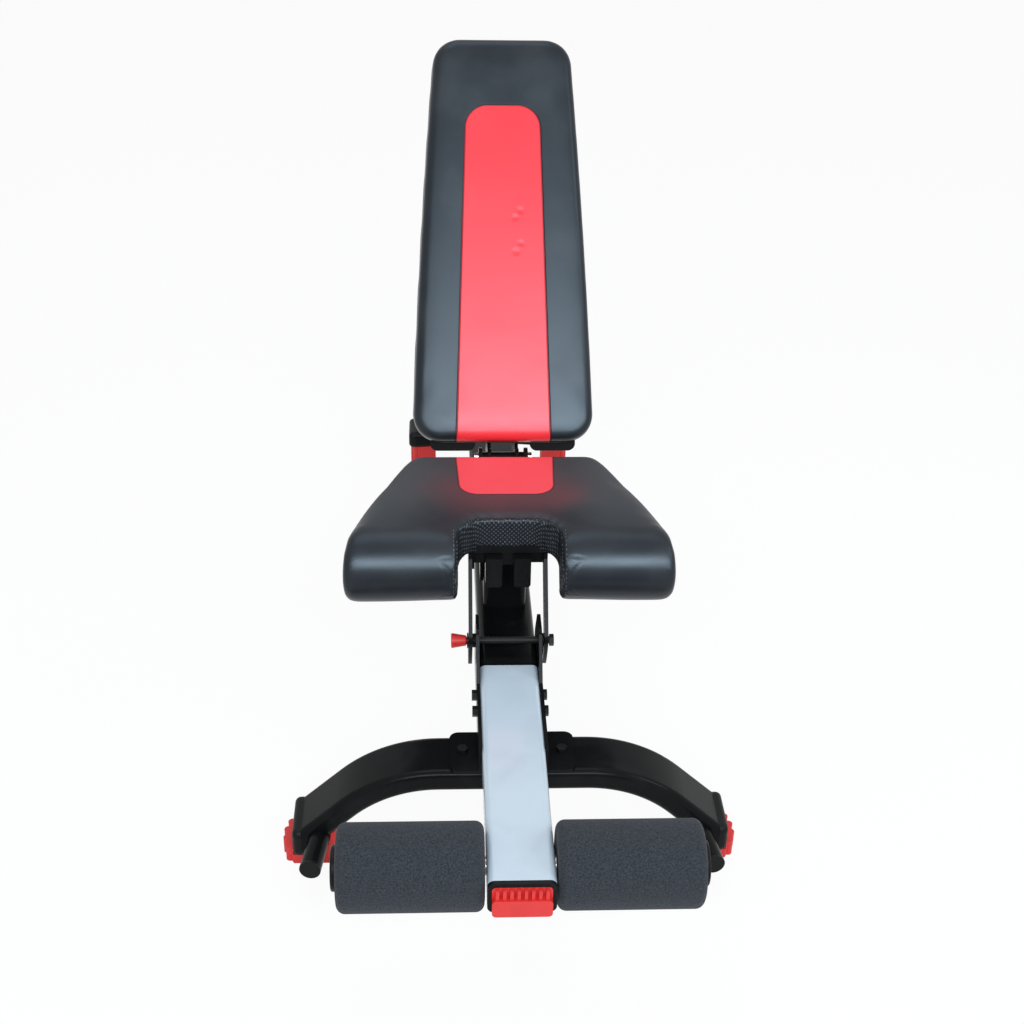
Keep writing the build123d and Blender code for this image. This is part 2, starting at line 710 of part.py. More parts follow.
for side in (-1, 1):
    for y in (tab_y - seat_tab_spacing / 2, tab_y + seat_tab_spacing / 2):
        place = Pos(side * (arm_out + seat_tab / 2), y)
        hole_face = place * Circle(small_bolt / 2 + running_clearance)
        hole = along_z(hole_face, board_low - wall, board_low + screw_grip)
        tab = along_z(place * Rectangle(seat_tab, seat_tab), board_low - wall, board_low) - hole
        head = along_z(place * Circle(small_bolt), board_low - wall - screw_head_height, board_low - wall)
        seat_screws.append(
            head + along_z(place * Circle(small_bolt / 2), board_low - wall, board_low + screw_grip)
        )
        seat_board -= hole
        if side > 0:
            right_tabs.append(tab)
seat_arm_right = seat_arm + right_tabs

# Backrest, drawn flat with its pivot at the origin
raise_back = Pos(0, back_pivot_station, back_pivot_z) * Rot(back_angle, 0, 0)
pad_low = back_face - back_pad_depth
back_end = back_start + back_length
mid_half = (back_low_half + back_top_half) / 2 + back_side_bow
back_line = [
    Line((-back_low_half, back_start), (back_low_half, back_start)),
    ThreePointArc(
        (back_low_half, back_start), (mid_half, back_start + back_length / 2), (back_top_half, back_end)
    ),
    Line((back_top_half, back_end), (-back_top_half, back_end)),
    ThreePointArc(
        (-back_top_half, back_end), (-mid_half, back_start + back_length / 2), (-back_low_half, back_start)
    ),
]
back_outline = make_face(back_line)
back_outline = fillet(back_outline.vertices(), back_corner)
back_pad = along_z(back_outline, pad_low, back_face)
back_pad = fillet(back_pad.edges().group_by(Axis.Z)[-1], back_edge)
board_outline = offset(back_outline, -back_board_inset)
ear_width = back_ear_half - beam_half
ear_length = 2 * back_corner
ear_middle = back_start - back_ear_drop + ear_length / 2
for side in (-1, 1):
    ear_place = Pos(side * (beam_half + ear_width / 2), ear_middle)
    board_outline += ear_place * RectangleRounded(ear_width, ear_length, back_ear_corner)
back_board = along_z(board_outline, pad_low - board_thickness, pad_low)
tube_high = pad_low - board_thickness - strap
tube_z = tube_high - back_tube / 2
back_tube_outline = Pos(0, tube_z) * RectangleRounded(back_tube, back_tube, back_tube_corner)
tube_inside = back_tube - 2 * wall
back_tube_bore = Pos(0, tube_z) * RectangleRounded(tube_inside, tube_inside, back_tube_corner - wall)
spine_tube = along_y(back_tube_outline, back_tube_start, back_tube_end)
spine_tube -= along_y(back_tube_bore, back_tube_start, back_tube_end)
tube_cap = along_y(back_tube_outline, back_tube_end, back_tube_end + tube_cap_flange)
tube_cap += along_y(back_tube_bore, back_tube_end - tube_cap_depth, back_tube_end)
strap_stations = [back_start + back_length * share for share in strap_shares]
straps = []
back_screws = []
for y in strap_stations:
    bar = Pos(0, y, tube_high + strap / 2) * Box(strap_length, strap_width, strap)
    for side in (-1, 1):
        place = Pos(side * (strap_length / 2 - strap_width / 2), y)
        hole = along_z(place * Circle(small_bolt / 2 + running_clearance), tube_high, pad_low - strap)
        bar -= hole
        back_board -= hole
        head = along_z(place * Circle(small_bolt), tube_high - screw_head_height, tube_high)
        back_screws.append(head + along_z(place * Circle(small_bolt / 2), tube_high, pad_low - strap))
    straps.append(bar)

barrel_half = post_half - side_gap / 2
barrel = rod_x(0, 0, barrel_diameter, -barrel_half, barrel_half)
barrel -= rod_x(0, 0, pivot_axle + 2 * running_clearance, -barrel_half, barrel_half)
hinge_first = lock_direction - back_low_angle
hinge_last = lock_direction - back_high_angle
web_last = lock_direction - back_angle
web_edges = [
    Line((0, 0), polar(lock_radius, web_last)),
    CenterArc((0, 0), lock_radius, web_last, hinge_first - web_last),
    Line(polar(lock_radius, hinge_first), (0, 0)),
]
hinge_face = arc_slot(lock_radius, hinge_band, hinge_last, hinge_first) + make_face(web_edges)
hinge_face += Circle(barrel_diameter / 2 + hinge_plate)
hinge_face += make_face(
    Polyline(
        (0, tube_high),
        (back_tube_start + hinge_foot, tube_high),
        (back_tube_start + hinge_foot, tube_high - back_tube),
        (back_tube_start - hinge_heel, tube_high - back_tube),
        (0, tube_high),
    )
)
hinge_face -= Circle(barrel_diameter / 2)
board_clear = back_tube_end - back_start
board_corner = Pos(back_start, tube_high)
hinge_face -= board_corner * Rectangle(board_clear, board_clear, align=(Align.MIN, Align.MIN))
hinge_right = along_x(hinge_face, hinge_in, hinge_out)
lock_holes = [
    Pos(*polar(lock_radius, lock_direction - angle)) * Circle(lock_pin / 2 + slot_clearance)
    for angle in lock_angles
]
hinge_left = along_x(hinge_face - lock_holes, -hinge_out, -hinge_in)

# Back lock: a bracket on the rear rail guides a pin that enters the left hinge plate
lock_y = back_pivot_station + lock_radius * cos(radians(lock_direction))
lock_z = back_pivot_z + lock_radius * sin(radians(lock_direction))
bracket_low = rail_top(lock_y) - bracket_foot
bracket_face = make_hull(
    (Pos(lock_y, lock_z) * Circle(bracket_eye)).edges()
    + (Pos(lock_y, bracket_low + bracket_foot / 2) * Rectangle(2 * bracket_half, bracket_foot)).edges()
)
bracket_face -= Pos(lock_y, lock_z) * Circle(bush_diameter / 2)
lock_bracket = along_x(bracket_face, -plate_out, -beam_half)
guide_in = -hinge_out - 3 * side_gap
guide_out = -plate_out - guide_stand
lock_guide = rod_x(lock_y, lock_z, bush_diameter, guide_out, guide_in)
lock_guide -= rod_x(lock_y, lock_z, lock_pin + 2 * running_clearance, guide_out, guide_in)
pin_tip = -hinge_out - 2 * side_gap
lock_knob_start = guide_out - lock_travel - 4 * side_gap
lock_pin_end = lock_knob_start - knob_bore
lock_pin_rod = rod_x(lock_y, lock_z, lock_pin, lock_pin_end, pin_tip)
lock_knob = cone_knob(lock_y, lock_z, lock_pin, knob_bore, lock_knob_start)

# Nodes
os.makedirs("parts", exist_ok=True)
save("front_stabiliser", front_tube)
save("rear_stabiliser", rear_tube_placed)
save("front_caps", front_cap, other_side(front_cap))
save("rear_caps", to_rear * rear_cap, to_rear * other_side(rear_cap))
save_pair("front_foot", front_foot)
save_pair("rear_foot", to_rear * rear_foot)
save_pair("peg", peg)
save("peg_plugs", peg_plug, other_side(peg_plug))
save("front_beam", front_beam)
save("beam_bezel", bezel)
save("beam_end_plug", end_plug)
save_pair("side_plate", side_plate)
save("flange_bolts", flange_bolt, other_side(flange_bolt))
save("beam_bolts", *beam_bolts)
save("roller_axle", roller_axle)
save_pair("roller_core", roller_core)
save_pair("roller_foam", roller_foam)
save("roller_caps", roller_cap, other_side(roller_cap))
save("clamp_bolt", clamp_through_bolt)
save("clamp_bushes", clamp_bush, other_side(clamp_bush))
save("clamp_washer", other_side(clamp_washer))
save("clamp_knob", clamp_knob)
save("rear_rail", rear_rail)
save("rear_bolts", *rear_bolts)
save("post", post)
save_pair("head_plate", head_side)
save("back_axle", back_axle)
save("back_axle_nut", back_nut)
save("seat_pivot_bolts", seat_pivot_bolt, other_side(seat_pivot_bolt))
save("seat_pivot_nuts", seat_pivot_nut, other_side(seat_pivot_nut))
save("seat_spacers", seat_spacer, other_side(seat_spacer))
save_pair("seat_arm", seat_arm_right)
save("seat_cross_bar", cross_bar)
save("leg_brace_receiver", receiver)
save("seat_board", seat_board)
save("seat_pad", seat_pad)
save("seat_screws", *seat_screws)
save("back_pad", raise_back * back_pad)
save("back_board", raise_back * back_board)
save("back_tube", raise_back * spine_tube)
save("back_tube_cap", raise_back * tube_cap)
save("back_straps", *[raise_back * bar for bar in straps])
save("back_screws", *[raise_back * screw for screw in back_screws])
save("back_hinge_barrel", raise_back * barrel)
save("back_hinge_plate_right", raise_back * hinge_right)
save("back_hinge_plate_left", raise_back * hinge_left)
save("lock_bracket", lock_bracket)
save("lock_guide", lock_guide)
save("lock_pin", lock_pin_rod)
save("lock_knob", lock_knob)
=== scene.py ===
# %% [markdown]
# # Adjustable weight bench
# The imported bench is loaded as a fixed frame: every metal piece already has its true shape and place.
# This lesson dresses it: a camera and light first, then the finishes, then the soft pads with their hem
# and stitches, and last the foam rollers.

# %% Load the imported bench
import json
import math

import bmesh
import bpy
from mathutils import Matrix, Vector
from mathutils.bvhtree import BVHTree


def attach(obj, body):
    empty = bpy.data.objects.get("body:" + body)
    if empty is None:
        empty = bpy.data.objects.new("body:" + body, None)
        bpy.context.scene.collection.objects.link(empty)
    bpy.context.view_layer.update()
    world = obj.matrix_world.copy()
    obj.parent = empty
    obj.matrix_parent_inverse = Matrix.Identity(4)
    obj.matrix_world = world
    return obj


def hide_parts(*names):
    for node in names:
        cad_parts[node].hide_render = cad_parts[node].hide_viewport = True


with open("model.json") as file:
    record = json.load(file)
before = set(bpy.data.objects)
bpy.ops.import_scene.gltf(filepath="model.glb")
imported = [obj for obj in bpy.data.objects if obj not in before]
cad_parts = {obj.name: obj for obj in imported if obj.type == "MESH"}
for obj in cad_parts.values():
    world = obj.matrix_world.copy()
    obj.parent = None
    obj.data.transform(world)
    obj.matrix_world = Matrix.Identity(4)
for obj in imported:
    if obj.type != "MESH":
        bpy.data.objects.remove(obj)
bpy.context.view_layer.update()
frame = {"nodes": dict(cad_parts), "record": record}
nodes = frame["nodes"]

# %% [markdown]
# The camera stands in front of the seat end, at about eye height, and looks down at the bench.
# Its place and tilt were solved from the perspective of the beam, the rollers and the floor contacts,
# so the picture lines up without any shift of the lens.

# %% Camera
CAMERA_PLACE = (-0.10485, -2.29974, 1.70113)
CAMERA_YAW = math.radians(2.996)
CAMERA_PITCH = math.radians(30.823)
CAMERA_ROLL = math.radians(1.311)
FOCAL_PIXELS = 1588.5
FRAME_PIXELS = 1024
SENSOR_WIDTH = 36.0

scene = bpy.context.scene
camera_data = bpy.data.cameras.new("bench_camera")
camera_data.sensor_width = SENSOR_WIDTH
camera_data.lens = SENSOR_WIDTH * FOCAL_PIXELS / FRAME_PIXELS
camera_data.dof.use_dof = False
camera = bpy.data.objects.new("bench_camera", camera_data)
scene.collection.objects.link(camera)
turn = Matrix.Rotation(-CAMERA_YAW, 4, "Z")
tilt = Matrix.Rotation(math.pi / 2 - CAMERA_PITCH, 4, "X")
lean = Matrix.Rotation(CAMERA_ROLL, 4, "Z")
camera.matrix_world = Matrix.Translation(CAMERA_PLACE) @ turn @ tilt @ lean
scene.camera = camera
scene.view_settings.view_transform = "Standard"
print("camera lens", round(camera_data.lens, 2), "mm")

# %% [markdown]
# The studio is a pale floor under a white sky. Black vinyl and black paint show their form only through
# what they reflect, so the sky is white to the camera and to reflections, while the light that it casts
# on the bench stays at a plain level. A Light Path node tells the two kinds of ray apart. Stronger lamps
# would whiten the background too, but they would also wash out the bench.

# %% Sky
SKY_LIGHT = 0.42
SKY_SEEN = 1.0


def add_node(tree, kind, **values):
    """New shader node with its settings."""
    node = tree.nodes.new(kind)
    for key, value in values.items():
        setattr(node, key, value)
    return node


def set_inputs(node, **values):
    """Set a node's sockets; an underscore stands for a space in a socket's name."""
    for label, value in values.items():
        node.inputs[label.replace("_", " ")].default_value = value


def seen_directly(tree):
    """One where the ray comes from the camera, a reflection or a clear surface."""
    path = add_node(tree, "ShaderNodeLightPath")
    either = add_node(tree, "ShaderNodeMath", operation="MAXIMUM")
    any_ray = add_node(tree, "ShaderNodeMath", operation="MAXIMUM")
    tree.links.new(path.outputs["Is Camera Ray"], either.inputs[0])
    tree.links.new(path.outputs["Is Glossy Ray"], either.inputs[1])
    tree.links.new(either.outputs[0], any_ray.inputs[0])
    tree.links.new(path.outputs["Is Transmission Ray"], any_ray.inputs[1])
    return any_ray.outputs[0]


world = bpy.data.worlds.new("studio_sky")
scene.world = world
world.use_nodes = True
sky = world.node_tree
set_inputs(sky.nodes["Background"], Color=(1, 1, 1, 1))
level = add_node(sky, "ShaderNodeMapRange")
set_inputs(level, To_Min=SKY_LIGHT, To_Max=SKY_SEEN)
sky.links.new(seen_directly(sky), level.inputs["Value"])
sky.links.new(level.outputs["Result"], sky.nodes["Background"].inputs["Strength"])
print("sky light", SKY_LIGHT, "and seen at", SKY_SEEN)

# %% [markdown]
# The floor is one large square. Most of it glows white to the camera and to reflections, so that it runs
# into the sky without an edge. The small share of plain paint that is left keeps the bench's shadow.

# %% Floor
FLOOR_SIZE = 14
FLOOR_WHITE = (0.88, 0.88, 0.88, 1)
FLOOR_ROUGHNESS = 0.9
FLOOR_GLOW = 0.93


def add_piece(name, form):
    """New object from a bmesh, which is freed."""
    mesh = bpy.data.meshes.new(name)
    form.to_mesh(mesh)
    form.free()
    piece = bpy.data.objects.new(name, mesh)
    scene.collection.objects.link(piece)
    return piece


floor_form = bmesh.new()
bmesh.ops.create_grid(floor_form, x_segments=1, y_segments=1, size=FLOOR_SIZE)
floor = add_piece("studio_floor", floor_form)
floor_paint = bpy.data.materials.new("pale_floor")
floor_paint.use_nodes = True
tree = floor_paint.node_tree
paint = tree.nodes["Principled BSDF"]
set_inputs(paint, Base_Color=FLOOR_WHITE, Roughness=FLOOR_ROUGHNESS)
glow = add_node(tree, "ShaderNodeEmission")
blend = add_node(tree, "ShaderNodeMixShader")
share = add_node(tree, "ShaderNodeMath", operation="MULTIPLY")
share.inputs[1].default_value = FLOOR_GLOW
tree.links.new(seen_directly(tree), share.inputs[0])
tree.links.new(share.outputs[0], blend.inputs["Fac"])
tree.links.new(paint.outputs[0], blend.inputs[1])
tree.links.new(glow.outputs[0], blend.inputs[2])
tree.links.new(blend.outputs[0], tree.nodes["Material Output"].inputs["Surface"])
floor.data.materials.append(floor_paint)
print("floor laid, glowing at", FLOOR_GLOW)

# %% [markdown]
# Three soft boxes give daylight: a wide one behind the camera like a window, one overhead and one to the
# side. The fourth lamp is a reflector card. It adds nothing to the diffuse light and is seen only in
# reflections, where it draws the broad sheen on the vinyl. Once the pads are made it is linked to them
# alone, because painted steel would turn grey under it.

# %% Lamps
DAYLIGHT = (0.86, 0.94, 1.0)


def add_lamp(name, place, aim, size, power):
    """Soft box, as wide and high as its size says, that points at a place."""
    data = bpy.data.lights.new(name, "AREA")
    data.shape = "RECTANGLE"
    data.size, data.size_y = size
    data.energy = power
    data.color = DAYLIGHT
    lamp = bpy.data.objects.new(name, data)
    facing = (Vector(aim) - Vector(place)).to_track_quat("-Z", "Y").to_matrix().to_4x4()
    lamp.matrix_world = Matrix.Translation(place) @ facing
    scene.collection.objects.link(lamp)
    return lamp


add_lamp("window_box", place=(-0.1, -3.5, 2.75), aim=(0, 0, 0.5), size=(2.8, 1.0), power=115)
add_lamp("overhead_box", place=(-0.3, 0.5, 3.2), aim=(0, 0, 0.4), size=(1.6, 1.6), power=22)
add_lamp("side_box", place=(2.4, -0.9, 2.0), aim=(0, 0.1, 0.6), size=(1.0, 1.0), power=18)
card = add_lamp("reflector_card", place=(0.8, -3.3, 2.1), aim=(0, -0.1, 0.55), size=(4.0, 1.1), power=300)
card.visible_diffuse = False
print("lamps:", len(bpy.data.lights))

# %% [markdown]
# Several finishes share the same fine effects, so each effect is a node group that a finish places with
# its own values. Most nodes in a group do sums. The helpers here make a group, link or set a socket, add
# a Math node and map a range, so that the groups and finishes below read like recipes.

# %% Helpers for shader groups
VECTOR, FLOAT = "NodeSocketVector", "NodeSocketFloat"


def new_group(name, inputs, outputs):
    """Empty shader group with named float or vector sockets."""
    group = bpy.data.node_groups.new(name, "ShaderNodeTree")
    for label, kind, value in inputs:
        socket = group.interface.new_socket(label, in_out="INPUT", socket_type=kind)
        if value is not None:
            socket.default_value = value
    for label, kind in outputs:
        group.interface.new_socket(label, in_out="OUTPUT", socket_type=kind)
    start = add_node(group, "NodeGroupInput")
    end = add_node(group, "NodeGroupOutput")
    return group, start.outputs, end.inputs


def put(tree, value, socket):
    """Link a socket or set a number."""
    if isinstance(value, (int, float)):
        socket.default_value = value
    else:
        tree.links.new(value, socket)


def calc(tree, operation, first, second=0.0):
    """Math node on sockets or numbers."""
    node = add_node(tree, "ShaderNodeMath", operation=operation)
    put(tree, first, node.inputs[0])
    put(tree, second, node.inputs[1])
    return node.outputs[0]


def remap(tree, value, low, high, to_low=0.0, to_high=1.0, smooth=False):
    """Map Range node, clamped."""
    node = add_node(tree, "ShaderNodeMapRange")
    if smooth:
        node.interpolation_type = "SMOOTHSTEP"
    put(tree, value, node.inputs["Value"])
    for label, number in (("From Min", low), ("From Max", high), ("To Min", to_low), ("To Max", to_high)):
        put(tree, number, node.inputs[label])
    return node.outputs["Result"]


def split_xyz(tree, vector):
    """The three coordinates of a vector as sockets."""
    node = add_node(tree, "ShaderNodeSeparateXYZ")
    tree.links.new(vector, node.inputs[0])
    return node.outputs["X"], node.outputs["Y"], node.outputs["Z"]


print("shader helpers ready")

# %% [markdown]
# A panel of another colour is sewn into each pad. This group gives the distance from a point to the
# panel's edge, below zero inside and above it outside. The panel tapers from root to tip, and the tip has
# round corners. A painted mask would blur close up, but a distance stays crisp at any size.

# %% Group: sewn panel
panel_group, given, result = new_group(
    "sewn_panel",
    [
        ("Vector", VECTOR, None),
        ("Root", FLOAT, 0.0),
        ("Root Half", FLOAT, 0.1),
        ("Tip", FLOAT, 0.5),
        ("Tip Half", FLOAT, 0.1),
        ("Corner", FLOAT, 0.03),
    ],
    [("Distance", FLOAT)],
)
across_pad, along_pad, _ = split_xyz(panel_group, given["Vector"])
half = remap(panel_group, along_pad, given["Root"], given["Tip"], given["Root Half"], given["Tip Half"])
across = calc(panel_group, "SUBTRACT", calc(panel_group, "ABSOLUTE", across_pad), half)
across = calc(panel_group, "ADD", across, given["Corner"])
along = calc(panel_group, "SUBTRACT", along_pad, given["Tip"])
along = calc(panel_group, "ADD", along, given["Corner"])
outside_x = calc(panel_group, "MAXIMUM", across, 0.0)
outside_y = calc(panel_group, "MAXIMUM", along, 0.0)
squares = calc(
    panel_group,
    "ADD",
    calc(panel_group, "MULTIPLY", outside_x, outside_x),
    calc(panel_group, "MULTIPLY", outside_y, outside_y),
)
inside = calc(panel_group, "MINIMUM", calc(panel_group, "MAXIMUM", across, along), 0.0)
reach = calc(panel_group, "ADD", calc(panel_group, "SQRT", squares), inside)
panel_group.links.new(calc(panel_group, "SUBTRACT", reach, given["Corner"]), result["Distance"])
print("group:", panel_group.name)

# %% [markdown]
# Two more groups give surface. Embossed vinyl has a fine pebble grain, from small Voronoi cells, and dust
# lies on it in large soft patches, from slow noise. Powder coat, mouldings and foam look speckled close
# up, from fine noise, and rubbed from further off, from coarse noise that is twisted a little.

# %% Groups: vinyl grain and fine speckle
grain_group, given, result = new_group(
    "vinyl_grain",
    [("Vector", VECTOR, None), ("Scale", FLOAT, 700.0)],
    [("Height", FLOAT), ("Patches", FLOAT)],
)
cells = add_node(grain_group, "ShaderNodeTexVoronoi", feature="SMOOTH_F1")
grain_group.links.new(given["Vector"], cells.inputs["Vector"])
grain_group.links.new(given["Scale"], cells.inputs["Scale"])
wander = add_node(grain_group, "ShaderNodeTexNoise")
set_inputs(wander, Scale=9.0, Detail=6.0)
grain_group.links.new(given["Vector"], wander.inputs["Vector"])
grain_group.links.new(cells.outputs["Distance"], result["Height"])
grain_group.links.new(wander.outputs["Fac"], result["Patches"])

speckle_group, given, result = new_group(
    "fine_speckle",
    [("Vector", VECTOR, None), ("Scale", FLOAT, 900.0)],
    [("Height", FLOAT), ("Wear", FLOAT)],
)
dust = add_node(speckle_group, "ShaderNodeTexNoise")
set_inputs(dust, Detail=3.0, Roughness=0.7)
speckle_group.links.new(given["Vector"], dust.inputs["Vector"])
speckle_group.links.new(given["Scale"], dust.inputs["Scale"])
rubs = add_node(speckle_group, "ShaderNodeTexNoise")
set_inputs(rubs, Scale=14.0, Detail=8.0, Distortion=0.6)
speckle_group.links.new(given["Vector"], rubs.inputs["Vector"])
speckle_group.links.new(dust.outputs["Fac"], result["Height"])
speckle_group.links.new(rubs.outputs["Fac"], result["Wear"])
print("groups:", grain_group.name, speckle_group.name)

# %% [markdown]
# A finish is one Principled shader with a few groups placed round it. The helpers start a finish, place a
# group, mix two colours and add a bump. A speckled finish lets the speckle vary its colour and gloss a
# little, as handling does on a used bench.

# %% Helpers for finishes
WEAR_RANGE = (0.45, 0.75)
WORN_ROUGHER = 1.25
SPECKLE_STRENGTH = 0.35


def place_group(tree, group, vector, **values):
    """Put a shared group into a material."""
    node = add_node(tree, "ShaderNodeGroup")
    node.node_tree = group
    tree.links.new(vector, node.inputs["Vector"])
    set_inputs(node, **values)
    return node.outputs


def start_finish(name, colour, roughness, metallic=0.0, **more):
    """New material with a Principled shader; gives back its parts and its Object coordinates."""
    material = bpy.data.materials.new(name)
    material.use_nodes = True
    tree = material.node_tree
    shader = tree.nodes["Principled BSDF"]
    set_inputs(shader, Base_Color=(*colour, 1), Roughness=roughness, Metallic=metallic, **more)
    where = add_node(tree, "ShaderNodeTexCoord")
    return material, tree, shader, where.outputs["Object"]


def mix_colour(tree, amount, first, second):
    """Mix two colours, given as sockets or as numbers."""
    node = add_node(tree, "ShaderNodeMix", data_type="RGBA")
    put(tree, amount, node.inputs["Factor"])
    for value, socket in ((first, node.inputs["A"]), (second, node.inputs["B"])):
        if isinstance(value, tuple):
            socket.default_value = (*value, 1)
        else:
            tree.links.new(value, socket)
    return node.outputs["Result"]


def add_bump(tree, target, height, strength, distance):
    """Bump from a height in 0 to 1, into the Normal of a shader or of another bump."""
    node = add_node(tree, "ShaderNodeBump")
    set_inputs(node, Strength=strength, Distance=distance)
    tree.links.new(height, node.inputs["Height"])
    tree.links.new(node.outputs["Normal"], target.inputs["Normal"])
    return node


def speckled_finish(name, colour, worn, roughness, scale, depth, metallic=0.0, **more):
    """Hard finish with fine speckle, slight wear of colour and uneven gloss."""
    material, tree, shader, where = start_finish(name, colour, roughness, metallic, **more)
    speckle = place_group(tree, speckle_group, where, Scale=scale)
    wear = remap(tree, speckle["Wear"], *WEAR_RANGE, smooth=True)
    tree.links.new(mix_colour(tree, wear, colour, worn), shader.inputs["Base Color"])
    tree.links.new(remap(tree, wear, 0, 1, roughness, roughness * WORN_ROUGHER), shader.inputs["Roughness"])
    add_bump(tree, shader, speckle["Height"], SPECKLE_STRENGTH, depth)
    return material


print("finish helpers ready")

# %% [markdown]
# The hard finishes are satin black powder coat, black fasteners, glossy pale silver paint, red moulded
# rubber and plastic, matt black plastic, zinc plate and stained board. Each CAD node names its slot in the
# record, so one loop puts the finishes on all of them.

# %% Hard finishes
finishes = {
    "black_paint": speckled_finish(
        "satin_black_coat", colour=(0.006, 0.0062, 0.0066), worn=(0.010, 0.0103, 0.0108),
        roughness=0.2, scale=1500, depth=0.00012, Specular_IOR_Level=0.06,
    ),
    "black_steel": speckled_finish(
        "black_oxide", colour=(0.006, 0.006, 0.0065), worn=(0.014, 0.0138, 0.0135),
        roughness=0.34, scale=900, depth=0.0001, Specular_IOR_Level=0.16,
    ),
    "silver_paint": speckled_finish(
        "pale_silver_paint", colour=(0.53, 0.62, 0.70), worn=(0.50, 0.585, 0.66),
        roughness=0.2, scale=2200, depth=0.00006, Coat_Weight=0.35,
    ),
    "red_rubber": speckled_finish(
        "red_foot_rubber", colour=(0.7, 0.026, 0.026), worn=(0.6, 0.03, 0.03),
        roughness=0.55, scale=800, depth=0.0003,
    ),
    "red_plastic": speckled_finish(
        "red_moulding", colour=(0.7, 0.024, 0.022), worn=(0.6, 0.022, 0.02),
        roughness=0.36, scale=1200, depth=0.0001,
    ),
    "black_plastic": speckled_finish(
        "black_moulding", colour=(0.006, 0.0062, 0.0066), worn=(0.011, 0.0112, 0.0118),
        roughness=0.42, scale=1100, depth=0.0002, Specular_IOR_Level=0.12,
    ),
    "zinc_steel": speckled_finish(
        "zinc_plate", colour=(0.5, 0.5, 0.48), worn=(0.36, 0.35, 0.33),
        roughness=0.34, scale=900, depth=0.0001, metallic=1.0,
    ),
    "plywood": speckled_finish(
        "stained_board", colour=(0.008, 0.008, 0.0082), worn=(0.015, 0.0145, 0.014),
        roughness=0.6, scale=300, depth=0.0004, Specular_IOR_Level=0.08,
    ),
}
for part in frame["record"]["subparts"]:
    slot_name = part["material_slot"]
    if slot_name in finishes:
        mesh = nodes[part["node"]].data
        mesh.materials.clear()
        mesh.materials.append(finishes[slot_name])
print("hard finishes:", len(finishes))

# %% [markdown]
# Vinyl is the main finish of this bench: black with a red panel sewn in. The panel's edge is worked out in
# the pad's own directions, and the same distance gives the groove of the seam. A Mapping node turns the
# coordinates into a pad first. Use leaves its marks: small dents in the cover, each a shallow hollow that
# is long and narrow for a crease and nearly round for a dimple.

# %% Vinyl: its place on a pad and its dents
DENT_FLOOR = 0.7


def to_pad(tree, where, turn, shift):
    """Coordinates turned and moved into a pad's own directions."""
    node = add_node(tree, "ShaderNodeMapping", vector_type="POINT")
    set_inputs(node, Rotation=turn, Location=shift)
    tree.links.new(where, node.inputs["Vector"])
    return node.outputs["Vector"]


def press_dents(tree, local, height, dents):
    """Lower a height at each dent; a dent is its place across and along, turn, length and narrowness."""
    for x, y, turned, long, narrow in dents:
        crease = to_pad(tree, local, (0, 0, 0), (-x, -y, 0))
        crease = to_pad(tree, crease, (0, 0, turned), (0, 0, 0))
        pull = add_node(tree, "ShaderNodeVectorMath", operation="MULTIPLY")
        pull.inputs[1].default_value = (1.0, narrow, 0.0)
        tree.links.new(crease, pull.inputs[0])
        far = add_node(tree, "ShaderNodeVectorMath", operation="LENGTH")
        tree.links.new(pull.outputs["Vector"], far.inputs[0])
        hollow = remap(tree, far.outputs["Value"], 0.0, long, DENT_FLOOR, 1.0, smooth=True)
        height = calc(tree, "MULTIPLY", height, hollow)
    return height


print("dents are pressed down to", DENT_FLOOR)

# %% [markdown]
# The seat's top, behind its rolled front, is painted paler in black and red towards the rear. This is a
# painted sheen, such as the sky gives a face turned up, and the top is also made duller there, as sitting
# wears it. Dye from the red panel has clouded the black beside it. Both follow the seat's own directions and
# the patches of the grain, so they fade unevenly.

# %% Vinyl: a seat's wear and painted sheen
VINYL_RED = (0.86, 0.038, 0.05)
# Paler black and red for the seat's top: a painted sheen, as a face turned up to the sky shows, together with
# some wear.
RED_WORN_AND_PAINTED_SHEEN = (0.88, 0.085, 0.105)
VINYL_WORN_AND_PAINTED_SHEEN = (0.056, 0.057, 0.061)
WEAR_AND_SHEEN_ALONG = (0.23, 0.12)
WEAR_AND_SHEEN_HEIGHT = (0.415, 0.432)
WEAR_AND_SHEEN_PATCHES = (0.3, 0.7, 0.6, 1.0)
SAT_ON_DULLER = 0.35
STAIN_RED = (0.19, 0.026, 0.033)
STAIN_REACH = 0.085
STAIN_PATCHES = (0.45, 1.0)
STAIN_ALONG = (0.05, 0.13, 0.15, 1.0)


